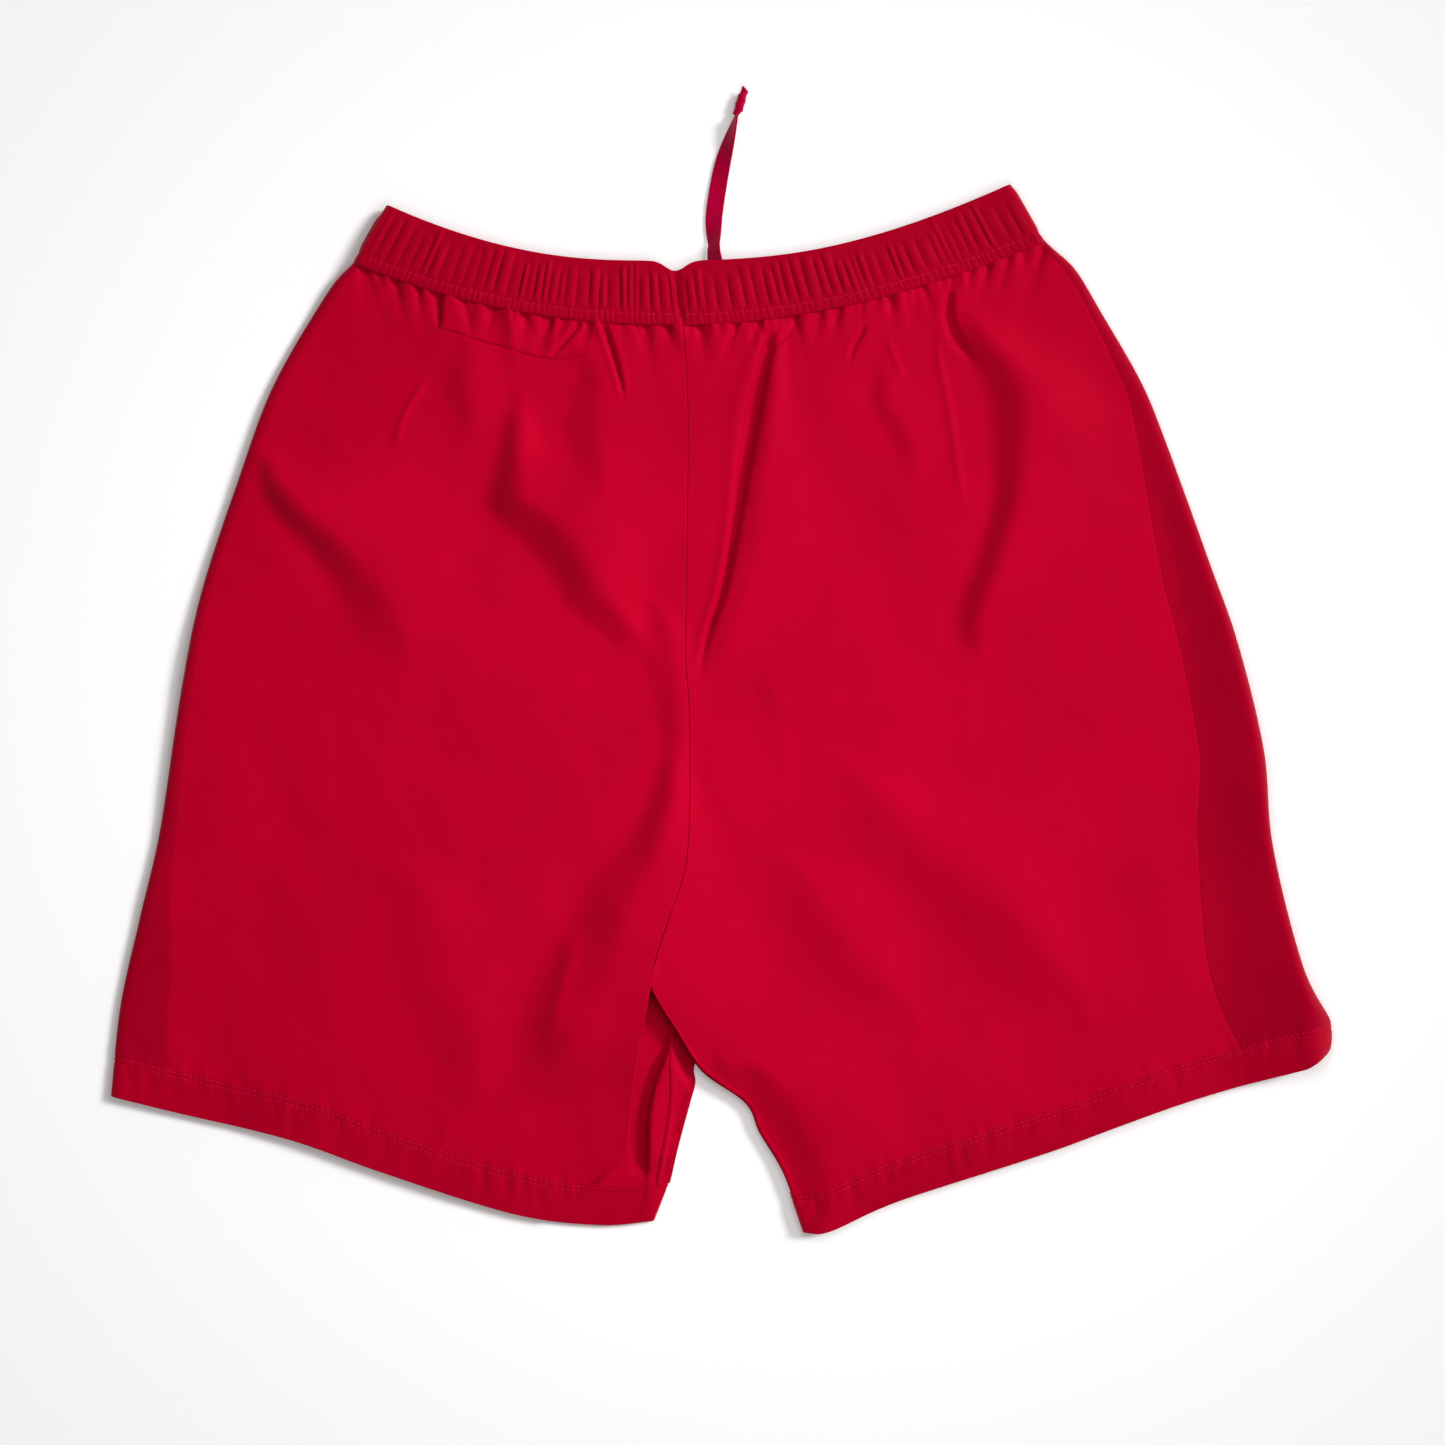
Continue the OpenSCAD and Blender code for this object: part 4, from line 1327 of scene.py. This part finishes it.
def make_stitching(side, part, lines, upwards):
    thread = make_object(f"{NAMES[side]}_{part}_stitches", *stitches(lines, upwards), THREAD_PAINTED_LIGHT)
    place(thread, side, [f"{NAMES[side]}_{part}_stitching"], True)


def hem_stitch_line(side, lift, back):
    start = flap_share(lift) - 0.006 if side == LEFT and back else 1 - 4 / HEM_LENGTH[side]
    share = np.linspace(start, EDGE_R / HEM_LENGTH[side], 600)
    line = lifted(hem_points(side, float(lift), share), back_height if back else FRONT_HEIGHT[side])
    line[:, 2] += -0.06 if back else 0.06
    return line


def band_stitch_line(side, back):
    across = np.linspace(0.012, 1 - 1.2 * TURN_R / BAND_SPAN[side], 700)
    s = across * BAND_SPAN[side] + (0 if back else FRONT_PLEATS)
    out = BAND_HALF_T + band_lift(side, s, BAND_STITCH_LEVEL)
    z = RUN_Z[1] + out if back else RUN_Z[0] - out
    return raised(band_xy(side, across, BAND_STITCH_LEVEL), np.maximum(z, 0.3))


for side in (LEFT, RIGHT):
    hem_lines = [hem_stitch_line(side, lift, back) for back in (True, False) for lift in STITCH_LIFTS]
    make_stitching(side, "hem", hem_lines, (1, 1, -1, -1))
    band_lines = [band_stitch_line(side, back) for back in (True, False)]
    make_stitching(side, "waistband", band_lines, (1, -1))


# ---- Seams inside the shorts ----
SEAM_WIDTH = 9


def ribbon(name, line, height, offset, thickness):
    """A seam allowance: a narrow strip of cloth along a line, at an offset from a height function."""
    xy = line[:, None] + normals_2d(line)[:, None] * (np.linspace(-0.5, 0.5, 7) * SEAM_WIDTH)[None, :, None]
    grid = lifted(xy, height)
    grid[..., 2] += offset + 0.12 * NOISE[2](xy[..., 0], xy[..., 1], 2.3)
    seam = cloth(f"{name}_allowance", grid, SHELL, thickness=thickness, face=-1)
    place(seam, RIGHT, [name], True)


def make_seams():
    back = resample(spline(BACK_SEAM, 200), np.linspace(0.02, 1, 200))
    ribbon("centre_back_seam", back, back_height, -2.3, 0.8)
    front = spline([(CENTRE_X, 202), (CENTRE_X, 50), (CENTRE_X, -125)], 160)
    ribbon("centre_front_seam", front, front_height, 0.5, 0.7)


def rounded_edge(name, line, z, wide, tall, material):
    """A tube of oval section along a plane line, with its middle at heights z."""
    out = (wide * np.cos(circle(12)))[..., None]
    xy = line[:, None] + normals_2d(line)[:, None] * out
    return tube(name, raised(xy, z[:, None] + tall * np.sin(circle(12))[None]), material)


INSEAMS = [
    [(-24, -150), (-26.5, -177), (-26, -203), (-28.5, -224), (-32, -242), (-33.5, -252)],
    [(-29, -150), (-18, -172), (-4, -192), (18, -210), (27, -228), (49, -272)],
]


def make_inseam(side):
    """The ridge of the leg's inner seam."""
    height, offset = ((strip_height, 0.25), (front_height, 1.0))[side]
    line = spline(INSEAMS[side], 160)
    wobble = 1 + 0.12 * NOISE[2](line[:, 0], line[:, 1], 2.0)
    z = height(line[:, 0], line[:, 1]) + offset
    name = NAMES[side]
    seam = rounded_edge(f"{name}_inseam_ridge", line, z, 1.5 * wobble[:, None], 0.75, SHELL)
    place(seam, side, [f"{name}_inseam"], True)


def make_flap_edge():
    """The rounded edge where the corner of the left leg's hem is folded under."""
    lifts = np.array([22.0, 0.3])
    line = spline([LEFT_LIP[-1], *hem_points(LEFT, lifts, flap_share(lifts))], 120)
    line = resample(line, np.linspace(0.12, 1, 40))
    z = back_height(line[:, 0], line[:, 1]) - 0.95
    edge = rounded_edge("left_hem_corner_fold", line, z, 0.9, 0.85, SHELL_PAINTED_SHADE)
    place(edge, LEFT, ["left_back_hem"], True)


make_flap_edge()
make_seams()
for side in (LEFT, RIGHT):
    make_inseam(side)


# ---- Inside the waistband: elastic, drawcord and the sewn slots ----
ELASTIC_LEVELS = (0.1, 0.9)
CORD_LEVELS = (0.5 - CORD_W / BAND_DEPTH / 2, 0.5 + CORD_W / BAND_DEPTH / 2)


def band_strip_grid(side, levels, out, ripple, start=0.0):
    """A flat strip round the inside of the casing: along the front, round the hip, along the back."""
    level = np.linspace(levels[0], levels[1], 15)
    end = TURN_AT[side]
    across = np.concatenate([np.linspace(start, end, 160), np.full(14, end), np.linspace(end, 0.002, 160)])
    angle = np.concatenate([np.full(160, math.pi), np.linspace(math.pi, 0, 16)[1:-1], np.zeros(160)])
    xy = band_xy(side, across[:, None], level[None])
    outwards = unit(band_xy(side, 1.0, level) - band_xy(side, end, level))
    wave = ripple * NOISE[2](np.arange(len(across))[:, None] * 1.0, level[None] * 20, 1.7)
    crease = 1.9 * bump(across * BAND_SPAN[side], 5)[:, None] * (angle < 1)[:, None]
    radius = TURN_R + out + wave - crease
    xy = xy + outwards[None] * (np.sin(angle)[:, None] * radius * TURN_REACH)[..., None]
    return raised(xy, MIDDLE_Z + np.cos(angle)[:, None] * radius)


def make_band_inside(side):
    name = NAMES[side]
    grid = band_strip_grid(side, ELASTIC_LEVELS, 0.1, 0.08)
    elastic = cloth(f"{name}_elastic_band", grid, ELASTIC, thickness=0.5, face=-FACING[side])
    place(elastic, side, [f"{name}_waist_elastic"], True)
    start = abs(SLOTS[side][0] - CENTRE_X) / BAND_SPAN[side]
    grid = band_strip_grid(side, CORD_LEVELS, -0.5, 0.0, start)
    cord = cloth(f"{name}_drawcord_inside", grid, TAPE, thickness=0.7, face=-FACING[side])
    place(cord, side, [f"{name}_drawcord_run"], True)


def make_slot(side):
    """The sewn edge of a drawcord slot: close radial stitches round a long hole."""
    name = NAMES[side]
    x, y, z = SLOTS[side]
    turn, ring = circle(240), circle(10)
    out = np.stack([np.sign(np.cos(turn)) * np.abs(np.cos(turn)) ** 0.6, np.sin(turn)], 1)
    threads = np.cos(turn * 34)[:, None]
    xy = (out * [5.9, 1.9])[:, None] + out[:, None] * (np.cos(ring) * (0.62 + 0.1 * threads))[..., None]
    points = raised(xy + [x, y], z + 0.1 + np.sin(ring) * (0.3 + 0.08 * threads))
    faces = quads(240, 10, loop_rows=True, loop_cols=True)
    rim = make_object(f"{name}_slot_rim", points.reshape(-1, 3), faces, THREAD_PAINTED_LIGHT)
    fix_normals(rim)
    place(rim, side, [f"{name}_drawcord_slot"], True)


for side in (LEFT, RIGHT):
    make_band_inside(side)
    make_slot(side)


# ---- Pockets and labels ----
BAG_W, BAG_TOP, BAG_BOTTOM, BAG_CORNER = 92, 190, 8, 28


def make_side_bag(side):
    """A side pocket's empty bag: it hangs from the side seam and lies on the front panel."""
    name = NAMES[side]
    line = side_curve(side)
    line = line[(line[:, 1] < BAG_TOP) & (line[:, 1] > BAG_BOTTOM)]
    share = np.linspace(0, 1, 90)
    edge = inset_line(resample(line, share), 7.0, -OUTWARD[side])
    inward = -OUTWARD[side] * normals_2d(edge)
    drop = length_of(line) * (1 - share)
    corner = np.sqrt(np.clip(1 - ((BAG_CORNER - np.minimum(drop, BAG_CORNER)) / BAG_CORNER) ** 2, 0, 1))
    mouth = np.sqrt(np.clip(share * 9, 0.05, 1))
    width = (BAG_W - BAG_CORNER + BAG_CORNER * corner) * (0.35 + 0.65 * mouth)
    across = np.linspace(0, 1, 40)
    xy = edge[:, None] + inward[:, None] * (width[:, None] * across[None])[..., None]
    rim = np.minimum(across, 1 - across)[None] * width[:, None]
    grid = lifted(xy, FRONT_HEIGHT[side])
    grid[..., 2] += 2.0 + 0.35 * (1 - np.exp(-rim / 6))
    bag = cloth(f"{name}_side_pocket_bag_cloth", grid, LINING, thickness=1.0, face=-FACING[side])
    place(bag, side, [f"{name}_side_pocket_bag"], False)


WELT_LINE = [(-149, 200.5), (-123, 193.5), (-94, 185.5), (-70, 186)]


def make_welt():
    """The narrow welt along the back pocket's mouth."""
    rise = np.linspace(0, 1, 12)[:, None]
    grid = lifted(spline(WELT_LINE, 90)[:, None] + (np.array([1.8, 9.5]) * rise)[None], back_height)
    grid[..., 2] += 0.12 + 0.42 * np.sqrt(np.minimum(rise[:, 0] * 9.5, 1.2) / 1.2)
    welt = cloth("back_pocket_welt_cloth", grid, SHELL, thickness=0.5)
    place(welt, LEFT, ["back_pocket_welt"], True)


def make_back_bag():
    """The back pocket's bag, which hangs inside the back panel. Its lower corners are rounded."""
    down = np.linspace(0, 1, 60)
    line = spline([(-152, 196), (-123, 189), (-94, 182), (-68, 182)], 50)
    corner = np.sqrt(np.clip(1 - (np.clip((down - 0.87) / 0.13, 0, 1)) ** 2, 0, 1))
    middle = line.mean(0)
    width = (0.86 + 0.14 * corner)[:, None, None]
    xy = middle + (line - middle)[None] * width + (np.array([-22, -122]) * down[:, None])[:, None]
    grid = lifted(xy, back_height)
    grid[..., 2] -= 1.2
    bag = cloth("back_pocket_bag_cloth", grid, LINING, thickness=0.8)
    place(bag, LEFT, ["back_pocket_bag"], True)


def make_label(node, low, size, height, offset, side, bends):
    """A blank woven label with its long edges slightly raised."""
    x = low[0] + size[0] * np.linspace(0, 1, 24)
    y = low[1] + size[1] * np.linspace(0, 1, 30)
    gx, gy = np.meshgrid(x, y)
    edge = np.minimum(gx - x[0], x[-1] - gx)
    z = height(gx, gy) + offset + 0.1 * np.exp(-edge / 1.2)
    label = cloth(f"{node}_cloth", np.stack([gx, gy, z], -1), LABEL, thickness=0.3, face=-1)
    place(label, side, [node], bends)


for side in (LEFT, RIGHT):
    make_side_bag(side)
make_welt()
make_back_bag()
make_label("size_label", (CENTRE_X + 11, 180), (32, 20), back_height, -1.5, RIGHT, True)
make_label("care_label", (-266, -5), (24, 42), left_front_height, 2.9, LEFT, False)


# ---- Stage ----
FLOOR_HALF = 60.0
FLOOR_Z = -0.0004
KEY_ELEVATION = 36
KEY_TURN = 22


def add_to_scene(name, data):
    obj = bpy.data.objects.new(name, data)
    bpy.context.scene.collection.objects.link(obj)
    return obj


def make_stage():
    mesh = bpy.data.meshes.new("floor")
    corners = [(x * FLOOR_HALF, y * FLOOR_HALF, FLOOR_Z) for x, y in ((-1, -1), (1, -1), (1, 1), (-1, 1))]
    mesh.from_pydata(corners, [], [(0, 1, 2, 3)])
    n = Nodes("floor")
    n.fill(n.shader, {
        "Base Color": (0.93, 0.93, 0.93, 1),
        "Roughness": 0.8,
        "Emission Color": (1, 1, 1, 1),
        "Emission Strength": 0.16,
    })
    mesh.materials.append(n.material)
    add_to_scene("floor", mesh)


def make_lights():
    data = bpy.data.lights.new("key", "SUN")
    data.energy = 2.5
    data.angle = math.radians(16)
    key = add_to_scene("key", data)
    key.rotation_euler = (0, math.radians(90 - KEY_ELEVATION), math.radians(KEY_TURN))
    data = bpy.data.lights.new("top", "AREA")
    data.shape = "SQUARE"
    data.size = 0.35
    data.energy = 1.3
    top = add_to_scene("top", data)
    top.location = (0.08, 0.02, 0.5)
    top.rotation_euler = Vector(top.location).to_track_quat("Z", "Y").to_euler()


def make_world():
    """A white surround, brighter towards the horizon so that the floor has no hard end in a low view."""
    world = bpy.data.worlds.new("studio")
    world.use_nodes = True
    tree = world.node_tree
    coordinate = tree.nodes.new("ShaderNodeTexCoord")
    split = tree.nodes.new("ShaderNodeSeparateXYZ")
    strength = tree.nodes.new("ShaderNodeMapRange")
    for socket, value in (("From Min", 0.0), ("From Max", 0.28), ("To Min", 0.76), ("To Max", 0.2)):
        strength.inputs[socket].default_value = value
    background = tree.nodes["Background"]
    background.inputs["Color"].default_value = (1, 1, 1, 1)
    tree.links.new(coordinate.outputs["Generated"], split.inputs["Vector"])
    tree.links.new(split.outputs["Z"], strength.inputs["Value"])
    tree.links.new(strength.outputs["Result"], background.inputs["Strength"])
    bpy.context.scene.world = world


make_stage()
make_lights()
make_world()
bpy.context.scene.view_settings.view_transform = "Standard"
